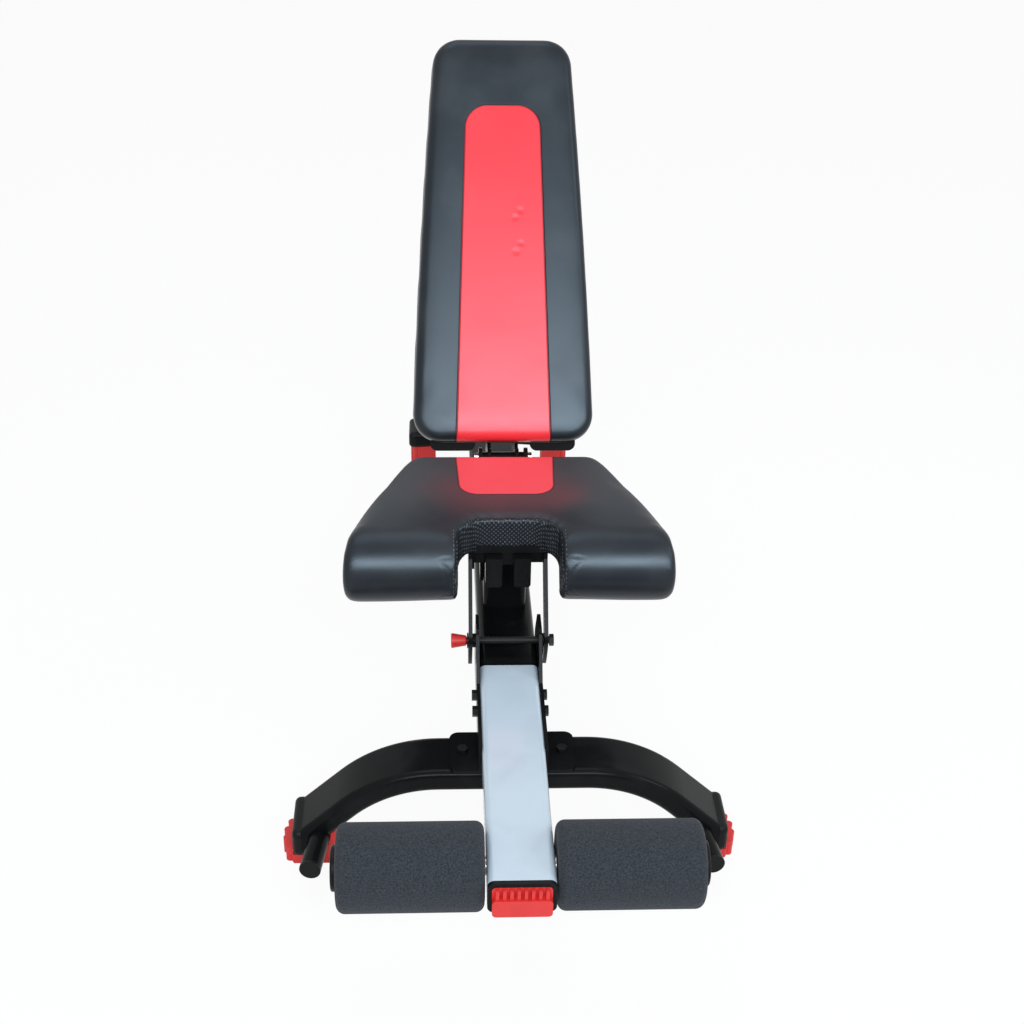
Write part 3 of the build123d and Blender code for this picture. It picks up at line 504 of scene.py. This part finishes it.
def wear_and_sheen_of_seat(tree, local, edge, patches, dusty, black, gloss, stain):
    """Black, red and roughness of a seat's cover: a top that is painted paler, a painted sheen, and rougher
    from wear, and a stain of red dye.
    """
    _, along, height = split_xyz(tree, local)
    wear_and_painted_sheen = remap(tree, along, *WEAR_AND_SHEEN_ALONG, smooth=True)
    wear_and_painted_sheen = calc(tree, "MULTIPLY", wear_and_painted_sheen, remap(tree, height, *WEAR_AND_SHEEN_HEIGHT, smooth=True))
    wear_and_painted_sheen = calc(tree, "MULTIPLY", wear_and_painted_sheen, remap(tree, patches, *WEAR_AND_SHEEN_PATCHES))
    # Painted sheen: the top behind the rolled front is made paler in black and red; the rougher finish below
    # is wear.
    black = mix_colour(tree, wear_and_painted_sheen, black, VINYL_WORN_AND_PAINTED_SHEEN)
    bright = mix_colour(tree, wear_and_painted_sheen, VINYL_RED, RED_WORN_AND_PAINTED_SHEEN)
    gloss = calc(tree, "ADD", gloss, calc(tree, "MULTIPLY", wear_and_painted_sheen, SAT_ON_DULLER))
    cloud = remap(tree, edge, STAIN_REACH, 0.0, 0.0, stain, smooth=True)
    cloud = calc(tree, "MULTIPLY", cloud, remap(tree, dusty, 0, 1, *STAIN_PATCHES))
    cloud = calc(tree, "MULTIPLY", cloud, remap(tree, along, *STAIN_ALONG, smooth=True))
    return mix_colour(tree, cloud, black, STAIN_RED), bright, gloss


print("worn vinyl is", SAT_ON_DULLER, "rougher")

# %% [markdown]
# Now the cover itself. Black and red meet at the panel's edge, the seam darkens the colour a little and
# sinks into the surface, and two bumps follow each other: a deep one for seam and dents, and a fine one
# for the grain.

# %% Vinyl: the cover
VINYL_BLACK = (0.016, 0.018, 0.022)
VINYL_DUSTY = (0.024, 0.026, 0.030)
VINYL_SHEEN = (0.72, 0.88, 1.0, 1.0)
VINYL_SPECULAR = 0.2
VINYL_ROUGHNESS = (0.31, 0.38)
DUST_RANGE = (0.42, 0.7)
PANEL_EDGE = 0.0004
PANEL_SEAM = 0.0022
SEAM_SHADE = 0.45
VINYL_GRAIN_SCALE = 620.0
GRAIN_BUMP = dict(strength=0.12, distance=0.0006)
SEAM_BUMP = dict(strength=0.8, distance=0.0015)


def vinyl_finish(name, turn, shift, panel, stain, dents):
    """Grained black vinyl with a sewn red panel; a stain above 0 makes it a seat's worn cover, with a painted
    sheen on its top.
    """
    material, tree, shader, where = start_finish(
        name, VINYL_BLACK, VINYL_ROUGHNESS[0], Specular_IOR_Level=VINYL_SPECULAR, Specular_Tint=VINYL_SHEEN
    )
    local = to_pad(tree, where, turn, shift)
    edge = place_group(tree, panel_group, local, **panel)["Distance"]
    grain = place_group(tree, grain_group, where, Scale=VINYL_GRAIN_SCALE)
    red = remap(tree, edge, PANEL_EDGE, -PANEL_EDGE)
    groove = remap(tree, calc(tree, "ABSOLUTE", edge), 0.0, PANEL_SEAM, smooth=True)
    dusty = remap(tree, grain["Patches"], *DUST_RANGE, smooth=True)
    black = mix_colour(tree, dusty, VINYL_BLACK, VINYL_DUSTY)
    bright = VINYL_RED
    gloss = remap(tree, dusty, 0, 1, *VINYL_ROUGHNESS)
    if stain:
        black, bright, gloss = wear_and_sheen_of_seat(tree, local, edge, grain["Patches"], dusty, black, gloss, stain)
    shade = add_node(tree, "ShaderNodeMix", data_type="RGBA", blend_type="MULTIPLY")
    set_inputs(shade, Factor=1.0)
    tree.links.new(mix_colour(tree, red, black, bright), shade.inputs["A"])
    tree.links.new(remap(tree, groove, 0, 1, SEAM_SHADE, 1.0), shade.inputs["B"])
    tree.links.new(shade.outputs["Result"], shader.inputs["Base Color"])
    tree.links.new(gloss, shader.inputs["Roughness"])
    fine = add_bump(tree, shader, grain["Height"], **GRAIN_BUMP)
    deep = add_bump(tree, fine, press_dents(tree, local, groove, dents), **SEAM_BUMP)
    return material, tree, shader, where, deep


print("vinyl roughness", VINYL_ROUGHNESS)

# %% [markdown]
# Each pad gets its own cover. The back pad leans about its pivot, whose place the frame gives. The seat is
# level, and its directions are turned half round so that its panel also runs from root to tip. Panels and
# dents are placed in metres, across and along their pad.

# %% Covers of the back and the seat
BACK_LEAN = math.radians(60)
BACK_PANEL = dict(Root=0.02, Root_Half=0.0785, Tip=0.584, Tip_Half=0.061, Corner=0.036)
BACK_DIMPLES = [
    (0.029, 0.411, 0.6, 0.010, 1.2),
    (0.021, 0.399, 0.2, 0.009, 1.1),
    (0.030, 0.357, 0.4, 0.009, 1.2),
    (0.022, 0.343, 0.1, 0.010, 1.1),
]
SEAT_PANEL = dict(Root=0.0, Root_Half=0.0805, Tip=0.1335, Tip_Half=0.074, Corner=0.03)
SEAT_STAIN = 0.7
SEAT_CREASES = [
    (0.100, 0.280, -0.15, 0.019, 5.0),
    (0.098, 0.2865, 0.3, 0.017, 5.0),
    (0.097, 0.2915, 0.7, 0.014, 4.0),
    (-0.099, 0.2875, -0.35, 0.015, 5.0),
    (-0.102, 0.279, 0.1, 0.018, 5.0),
]
joints = {joint["name"]: joint for joint in frame["record"]["behaviour"]["joints"]}
back_pivot = Vector(joints["back_incline"]["pos_m"])
back_turn = Matrix.Rotation(-BACK_LEAN, 3, "X")
back_vinyl = vinyl_finish(
    "back_vinyl", (-BACK_LEAN, 0, 0), -(back_turn @ back_pivot), BACK_PANEL, 0.0, BACK_DIMPLES
)[0]
seat_vinyl, tree, shader, where, deep = vinyl_finish(
    "seat_vinyl", (0, 0, math.pi), (0, 0, 0), SEAT_PANEL, SEAT_STAIN, SEAT_CREASES
)
print("covers:", back_vinyl.name, seat_vinyl.name)

# %% [markdown]
# The seat's notch is lined with a dotted panel. Its dots sit on a diamond grid that follows the wall up
# and over the top edge, so one direction of the grid is height minus depth. The product of two sine waves
# gives such a grid without a picture.

# %% Dotted lining of the notch
LINING = dict(Root=-0.3, Root_Half=0.083, Tip=-0.2, Tip_Half=0.076, Corner=0.04)
LINING_EDGE = 0.0005
LINING_PITCH = 0.0035
LINING_BLACK = (0.007, 0.0075, 0.0085)
LINING_COVER = 0.9
DOT_GREY = (0.06, 0.066, 0.075)
DOT_RANGE = (0.1, 0.8)
DOT_FLOOR = 0.7
DOT_BUMP = dict(strength=0.9, distance=0.0012)

lining_edge = place_group(tree, panel_group, where, **LINING)["Distance"]
lining = remap(tree, lining_edge, LINING_EDGE, -LINING_EDGE)
across, depth, height = split_xyz(tree, where)
wave = math.pi / LINING_PITCH
one_way = calc(tree, "SINE", calc(tree, "MULTIPLY", across, wave))
climb = calc(tree, "SUBTRACT", height, depth)
other_way = calc(tree, "SINE", calc(tree, "MULTIPLY", climb, wave))
dots = remap(tree, calc(tree, "MULTIPLY", one_way, other_way), *DOT_RANGE, smooth=True)
dots = calc(tree, "MULTIPLY", dots, lining)
lining_seam = remap(tree, calc(tree, "ABSOLUTE", lining_edge), 0.0, PANEL_SEAM, smooth=True)
dot_height = calc(tree, "MULTIPLY", remap(tree, dots, 0, 1, DOT_FLOOR, 1.0), lining_seam)
add_bump(tree, deep, dot_height, **DOT_BUMP)
cover_colour = shader.inputs["Base Color"].links[0].from_socket
darker = mix_colour(tree, calc(tree, "MULTIPLY", lining, LINING_COVER), cover_colour, LINING_BLACK)
tree.links.new(mix_colour(tree, dots, darker, DOT_GREY), shader.inputs["Base Color"])
print("lining dots every", LINING_PITCH * 1000, "mm")

# %% [markdown]
# A pad is foam on a board under a tight cover. Each one starts as a copy of its solid, remeshed into small
# even faces and made a little thinner. Cloth with inner pressure then swells it. The face on the board
# stays where it is, and the movement is capped so that the pad keeps its size.

# %% Pads: an even copy and its swelling
MERGE_DISTANCE = 0.00002
VOXEL = 0.005
PRESSURE = 4.0
CLOTH_QUALITY = 4
LAST_FRAME = 20
START_THINNER = 0.0025
EVEN_OUT = dict(factor=0.5, use_axis_x=True, use_axis_y=True, use_axis_z=True)


def settle(pad):
    """Apply every modifier of a piece to its mesh."""
    seen = pad.evaluated_get(bpy.context.evaluated_depsgraph_get())
    mesh = bpy.data.meshes.new_from_object(seen)
    pad.modifiers.clear()
    pad.data = mesh


def pad_copy(name, node, axes):
    """Closed copy of a pad's solid with even faces that follow the pad's own directions."""
    form = bmesh.new()
    form.from_mesh(nodes[node].data)
    bmesh.ops.remove_doubles(form, verts=form.verts, dist=MERGE_DISTANCE)
    bmesh.ops.transform(form, matrix=axes, verts=form.verts)
    pad = add_piece(name, form)
    remesh = pad.modifiers.new("even_faces", "REMESH")
    remesh.mode = "VOXEL"
    remesh.voxel_size = VOXEL
    settle(pad)
    pad.data.transform(axes.inverted())
    return pad


def thin(pad, held):
    """Draw a pad in a little, except where it is held."""
    form = bmesh.new()
    form.from_mesh(pad.data)
    bmesh.ops.smooth_vert(form, verts=form.verts, **EVEN_OUT)
    form.normal_update()
    for vert in form.verts:
        if not held(vert.co):
            vert.co -= vert.normal * START_THINNER
    form.to_mesh(pad.data)
    form.free()


def swell(pad, held, cap):
    """Cloth under pressure; points that are held stay, and the rest move by no more than the cap."""
    kept = pad.vertex_groups.new(name="on_board")
    kept.add([vert.index for vert in pad.data.vertices if held(vert.co)], 1.0, "REPLACE")
    before = [vert.co.copy() for vert in pad.data.vertices]
    cloth = pad.modifiers.new("swell", "CLOTH")
    cloth.settings.use_pressure = True
    cloth.settings.uniform_pressure_force = PRESSURE
    cloth.settings.effector_weights.gravity = 0
    cloth.settings.vertex_group_mass = kept.name
    cloth.settings.quality = CLOTH_QUALITY
    cloth.collision_settings.use_collision = False
    cloth.point_cache.frame_start = 1
    cloth.point_cache.frame_end = LAST_FRAME
    for step in range(1, LAST_FRAME + 1):
        scene.frame_set(step)
    settle(pad)
    scene.frame_set(1)
    for vert, start in zip(pad.data.vertices, before):
        move = vert.co - start
        if move.length > cap:
            vert.co = start + move * (cap / move.length)
    pad.vertex_groups.clear()


print("pads start with faces of", VOXEL * 1000, "mm")

# %% [markdown]
# A swollen pad is then shaped as upholstery is. Tight vinyl evens itself out, the pad fills its own box
# again, and where the foam is firm the cover is drawn back towards the solid. Sculpting by hand could do
# this too, but three small rules give the same pad each time.

# %% Pads: shaping the cover


def relax(pad, rounds):
    """Even out the cover, as tight vinyl does."""
    form = bmesh.new()
    form.from_mesh(pad.data)
    for _ in range(rounds):
        bmesh.ops.smooth_vert(form, verts=form.verts, **EVEN_OUT)
    form.to_mesh(pad.data)
    form.free()


def own_box(points, axes):
    """Lowest and highest coordinates of points along a pad's own directions."""
    local = [axes @ point for point in points]
    return [(min(p[i] for p in local), max(p[i] for p in local)) for i in range(3)]


def fit_box(pad, node, axes):
    """Stretch a pad so that it fills the box of its solid again."""
    wanted = own_box([vert.co for vert in nodes[node].data.vertices], axes)
    found = own_box([vert.co for vert in pad.data.vertices], axes)
    back = axes.inverted()
    for vert in pad.data.vertices:
        local = axes @ vert.co
        for i in range(3):
            share = (local[i] - found[i][0]) / (found[i][1] - found[i][0])
            local[i] = wanted[i][0] + share * (wanted[i][1] - wanted[i][0])
        vert.co = back @ local


def surface_of(mesh):
    """Search tree of a mesh's faces."""
    corners = [vert.co for vert in mesh.vertices]
    return BVHTree.FromPolygons(corners, [face.vertices[:] for face in mesh.polygons])


def hold_form(pad, node, firmness):
    """Draw a pad back onto its solid where its foam is firm: 0 leaves a point, 1 puts it on the solid."""
    solid = surface_of(nodes[node].data)
    for vert in pad.data.vertices:
        vert.co = vert.co.lerp(solid.find_nearest(vert.co)[0], firmness(vert.co))


print("pads fill the boxes of", nodes["back_pad"].name, "and", nodes["seat_pad"].name)

# %% [markdown]
# Along the lining's seam the thread pulls the cover in, in small gathers. Each point near the seam sinks a
# little along its normal, and a wave along the seam makes the pull uneven. Then a pad is smoothed by one
# level of subdivision, gets its cover and is tied to its body, and the solid that it stands for is hidden.

# %% Pads: gathers and finish
GATHER_WIDTH = 0.017
GATHER_PITCH = 0.019
GATHER_DEPTH = 0.0019
GATHER_RIPPLE = 0.55
GATHER_SLANT = 0.8
GATHER_REAR = -0.19
GATHER_LOWEST = 0.33


def lining_distance(point):
    """Distance of a point from the lining's seam in plan, as the shader group works it out."""
    share = min(max((point.y - LINING["Root"]) / (LINING["Tip"] - LINING["Root"]), 0), 1)
    half = LINING["Root_Half"] + share * (LINING["Tip_Half"] - LINING["Root_Half"])
    across = abs(point.x) - half + LINING["Corner"]
    along = point.y - LINING["Tip"] + LINING["Corner"]
    return math.hypot(max(across, 0), max(along, 0)) + min(max(across, along), 0) - LINING["Corner"]


def pucker(pad):
    """Draw the cover in along the lining's seam, in small gathers."""
    form = bmesh.new()
    form.from_mesh(pad.data)
    form.normal_update()
    for vert in form.verts:
        near = 1 - abs(lining_distance(vert.co)) / GATHER_WIDTH
        if near > 0 and vert.co.y < GATHER_REAR and vert.co.z > GATHER_LOWEST:
            climb = vert.co.z - vert.co.y + GATHER_SLANT * abs(vert.co.x)
            ripple = 1 + GATHER_RIPPLE * math.sin(math.tau * climb / GATHER_PITCH)
            vert.co -= vert.normal * (GATHER_DEPTH * near * near * ripple)
    form.to_mesh(pad.data)
    form.free()


def dress(piece, material):
    """Give a piece its only material and smooth shading."""
    piece.data.materials.clear()
    piece.data.materials.append(material)
    for face in piece.data.polygons:
        face.use_smooth = True


def finish_pad(pad, material, node, body):
    """Smooth a pad, give it its cover, tie it to its body and hide the solid that it stands for."""
    smooth = pad.modifiers.new("smooth_cover", "SUBSURF")
    smooth.levels = 1
    smooth.render_levels = 1
    dress(pad, material)
    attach(pad, body)
    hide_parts(node)
    print(pad.name, "faces:", len(pad.data.polygons))


print("gathers every", GATHER_PITCH * 1000, "mm")

# %% [markdown]
# The back pad lies on its board, so the face on the board is held while the rest swells. Its foam is firm
# all over, which keeps the long top flat.

# %% Back pad
SWELL_CAP = 0.004
BACK_PAD_TOP = 0.0354
BACK_PAD_DEPTH = 0.043
BACK_PAD_LOW = BACK_PAD_TOP - BACK_PAD_DEPTH
BOARD_REACH = 0.004
BACK_ROUNDS = 14
BACK_FIRMNESS = 0.6
back_axes = Matrix.Rotation(-BACK_LEAN, 4, "X") @ Matrix.Translation(-back_pivot)


def on_back_board(point):
    """True on the face that lies on the back board."""
    return (back_axes @ point).z < BACK_PAD_LOW + BOARD_REACH


back_pad = pad_copy("back_cushion", "back_pad", back_axes)
thin(back_pad, on_back_board)
swell(back_pad, on_back_board, SWELL_CAP)
relax(back_pad, BACK_ROUNDS)
fit_box(back_pad, "back_pad", back_axes)
hold_form(back_pad, "back_pad", lambda point: BACK_FIRMNESS)
finish_pad(back_pad, back_vinyl, "back_pad", "back")

# %% [markdown]
# The seat pad is made in the same way. Its underside is held over the board, its rear rim is firm, and its
# rolled front stays soft and takes the gathers. With both pads made, the reflector card is linked to them.

# %% Seat pad
# Stations along the bench count from the front stabiliser, and the frame's origin is at the bench's middle.
BENCH_MIDDLE = 0.4525
SEAT_BOARD_FRONT = 0.262 - BENCH_MIDDLE
SEAT_HELD_BELOW = 0.394
SEAT_ROUNDS = 9
SEAT_REAR_SOFT = -0.09
SEAT_REAR_FIRM = -0.03


def on_seat_board(point):
    """True on the seat's underside, over the board."""
    return point.z < SEAT_HELD_BELOW and point.y > SEAT_BOARD_FRONT


def seat_firmness(point):
    """The seat's rear rim is firm, and its rolled front is soft."""
    return min(max((point.y - SEAT_REAR_SOFT) / (SEAT_REAR_FIRM - SEAT_REAR_SOFT), 0), 1)


seat_axes = Matrix.Identity(4)
seat_pad = pad_copy("seat_cushion", "seat_pad", seat_axes)
thin(seat_pad, on_seat_board)
swell(seat_pad, on_seat_board, SWELL_CAP)
relax(seat_pad, SEAT_ROUNDS)
fit_box(seat_pad, "seat_pad", seat_axes)
hold_form(seat_pad, "seat_pad", seat_firmness)
pucker(seat_pad)
finish_pad(seat_pad, seat_vinyl, "seat_pad", "seat")
under_card = bpy.data.collections.new("pads_under_card")
for pad in (back_pad, seat_pad):
    under_card.objects.link(pad)
card.light_linking.receiver_collection = under_card

# %% [markdown]
# The back's cover is pulled round its board and closed with a narrow sewn hem. A plane cuts the finished
# pad just above the board, the cut gives the true line of the hem, and a thin round cord is laid along it.

# %% Hem of the back pad
HEM_RADIUS = 0.0014
HEM_RESOLUTION = 2
HEM_ALONG = 0.36
HEM_LIFT = 0.0035
HEM_ROUNDS = 6


def cut_line(pad, place, facing):
    """Points in order where a plane cuts a pad; the edges keep their order, so it starts at a fixed place."""
    form = bmesh.new()
    form.from_mesh(pad.data)
    cut = bmesh.ops.bisect_plane(
        form, geom=form.verts[:] + form.edges[:] + form.faces[:], plane_co=place, plane_no=facing
    )
    left = dict.fromkeys(item for item in cut["geom_cut"] if isinstance(item, bmesh.types.BMEdge))
    longest = []
    while left:
        edge, _ = left.popitem()
        line = [edge.verts[0], edge.verts[1]]
        step = True
        while step:
            step = next((other for other in line[-1].link_edges if other in left), None)
            if step:
                del left[step]
                line.append(step.other_vert(line[-1]))
        if len(line) > len(longest):
            longest = line
    points = [vert.co.copy() for vert in longest]
    form.free()
    return points


def even_line(points, rounds):
    """Average each point of a closed line with its neighbours to take out the small steps of the faces."""
    for _ in range(rounds):
        count = len(points)
        points = [
            (points[index - 1] + point * 2 + points[(index + 1) % count]) / 4
            for index, point in enumerate(points)
        ]
    return points


def add_cord(name, points, radius, material, body):
    """Thin sewn cord along a closed line, made a mesh."""
    curve = bpy.data.curves.new(name, "CURVE")
    curve.dimensions = "3D"
    curve.bevel_depth = radius
    curve.bevel_resolution = HEM_RESOLUTION
    spline = curve.splines.new("POLY")
    spline.points.add(len(points) - 1)
    for target, point in zip(spline.points, points):
        target.co = (*point, 1)
    spline.use_cyclic_u = True
    temporary = bpy.data.objects.new(name + "_line", curve)
    scene.collection.objects.link(temporary)
    seen = temporary.evaluated_get(bpy.context.evaluated_depsgraph_get())
    mesh = bpy.data.meshes.new_from_object(seen)
    mesh.name = name
    bpy.data.objects.remove(temporary)
    cord = bpy.data.objects.new(name, mesh)
    scene.collection.objects.link(cord)
    dress(cord, material)
    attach(cord, body)


hem_vinyl = speckled_finish(
    "hem_vinyl", colour=(0.045, 0.047, 0.052), worn=(0.07, 0.072, 0.078),
    roughness=0.5, scale=900, depth=0.0002,
)
back_up = back_axes.to_3x3().transposed() @ Vector((0, 0, 1))
hem_place = back_axes.inverted() @ Vector((0, HEM_ALONG, BACK_PAD_LOW + HEM_LIFT))
back_hem = even_line(cut_line(back_pad, hem_place, back_up), HEM_ROUNDS)
add_cord("back_hem", back_hem, HEM_RADIUS, hem_vinyl, "back")
print("hem points:", len(back_hem))

# %% [markdown]
# The seam of the lining is closed with two rows of short stitches at each side. Each stitch is a small
# bead of thread. Rays aimed at the axis of the rolled front find the cover under each stitch, so the rows
# follow the pad as it really is.

# %% Stitches along the lining
STITCH_LENGTH = 0.003
STITCH_GAP = 0.0052
STITCH_RADIUS = 0.00055
STITCH_ROW = 0.0026
ROLL_AXIS = Vector((0, 0.218 - BENCH_MIDDLE, 0.380))
RAY_COUNT = 48
RAY_LOWEST = -35
RAY_SWEEP = 125
RAY_START = 0.12
LONGEST_STEP = 0.02


def seam_run(side, offset):
    """Rays down the front of one lobe of the seat."""
    rays = []
    for step in range(RAY_COUNT):
        angle = math.radians(RAY_LOWEST + step * RAY_SWEEP / (RAY_COUNT - 1))
        out = Vector((0, -math.cos(angle), math.sin(angle)))
        start = ROLL_AXIS + Vector((side * (LINING["Root_Half"] + offset), 0, 0)) + out * RAY_START
        rays.append((start, -out))
    return rays


surface = surface_of(seat_pad.data)
thread_form = bmesh.new()
bead = Matrix.Diagonal((STITCH_RADIUS, STITCH_RADIUS, STITCH_LENGTH / 2, 1))
stitch_count = 0
for side in (-1, 1):
    for offset in (-STITCH_ROW, STITCH_ROW):
        track = [surface.ray_cast(*ray)[0] for ray in seam_run(side, offset)]
        track = [point for point in track if point]
        walked = 0.0
        for first, second in zip(track, track[1:]):
            walked += (second - first).length
            if walked < STITCH_GAP or (second - first).length > LONGEST_STEP:
                continue
            walked = 0.0
            stitch_count += 1
            heading = (second - first).normalized().to_track_quat("Z", "Y").to_matrix().to_4x4()
            place = Matrix.Translation(second) @ heading @ bead
            bmesh.ops.create_uvsphere(thread_form, u_segments=6, v_segments=4, radius=1.0, matrix=place)
stitches = add_piece("lining_stitches", thread_form)
thread = speckled_finish(
    "seam_thread", colour=(0.11, 0.12, 0.13), worn=(0.2, 0.21, 0.22),
    roughness=0.6, scale=1500, depth=0.0001,
)
stitches.data.materials.append(thread)
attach(stitches, "seat")
print("stitches:", stitch_count)

# %% [markdown]
# The foot rollers are thick foam sleeves. Foam has an open, matt surface that catches light as soft sheen,
# so its finish is a fine cell pattern with a little sheen on the shader.

# %% Foam finish
FOAM_DARK = (0.018, 0.021, 0.026)
FOAM_PALE = (0.046, 0.052, 0.064)
FOAM_ROUGHNESS = 0.92
FOAM_MOTTLE = (0.3, 0.7)
FOAM_BUMP = dict(strength=0.6, distance=0.0012)

foam, tree, shader, where = start_finish(
    "roller_foam", FOAM_DARK, FOAM_ROUGHNESS,
    Sheen_Weight=0.06, Sheen_Roughness=0.6, Specular_IOR_Level=0.15,
)
speckle = place_group(tree, speckle_group, where, Scale=420.0)
pores = place_group(tree, grain_group, where, Scale=520.0)
mottle = remap(tree, speckle["Height"], *FOAM_MOTTLE, smooth=True)
tree.links.new(mix_colour(tree, mottle, FOAM_DARK, FOAM_PALE), shader.inputs["Base Color"])
add_bump(tree, shader, calc(tree, "ADD", pores["Height"], speckle["Height"]), **FOAM_BUMP)
print("foam:", foam.name)

# %% [markdown]
# A sleeve could be a thick cylinder with a bevel, but its bore would then need a cut. Here its section,
# four points with two rounded corners, is spun once round the axle, whose place the frame gives, and the
# doubles at the seam are merged.

# %% Foam rollers
ROLLER_RADIUS = 0.06
ROLLER_BORE = 0.0162
ROLLER_ENDS = (0.0484, 0.2456)
ROLLER_ROUND = 0.012
ROUND_SEGMENTS = 6
SPIN_STEPS = 96
SPIN_MERGE = 0.00001
_, axle_y, axle_z = joints["roller_left_spin"]["pos_m"]


def foam_sleeve(name, side, node, body):
    """Foam sleeve spun round the roller axle."""
    inner, outer = (side * value for value in ROLLER_ENDS)
    form = bmesh.new()
    points = [(inner, ROLLER_BORE), (inner, ROLLER_RADIUS), (outer, ROLLER_RADIUS), (outer, ROLLER_BORE)]
    verts = [form.verts.new((x, axle_y, axle_z + radius)) for x, radius in points]
    for index, vert in enumerate(verts):
        form.edges.new((vert, verts[(index + 1) % len(verts)]))
    bmesh.ops.bevel(
        form, geom=[verts[1], verts[2]], affect="VERTICES", offset=ROLLER_ROUND,
        segments=ROUND_SEGMENTS, profile=0.5, material=-1,
    )
    bmesh.ops.spin(
        form, geom=form.verts[:] + form.edges[:], cent=(0, axle_y, axle_z), axis=(1, 0, 0),
        angle=math.tau, steps=SPIN_STEPS, use_merge=True,
    )
    bmesh.ops.remove_doubles(form, verts=form.verts, dist=SPIN_MERGE)
    bmesh.ops.recalc_face_normals(form, faces=form.faces)
    sleeve = add_piece(name, form)
    dress(sleeve, foam)
    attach(sleeve, body)
    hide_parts(node)
    print(name, "faces:", len(sleeve.data.polygons))


foam_sleeve("foam_sleeve_left", -1, "roller_foam_left", "roller_left")
foam_sleeve("foam_sleeve_right", 1, "roller_foam_right", "roller_right")
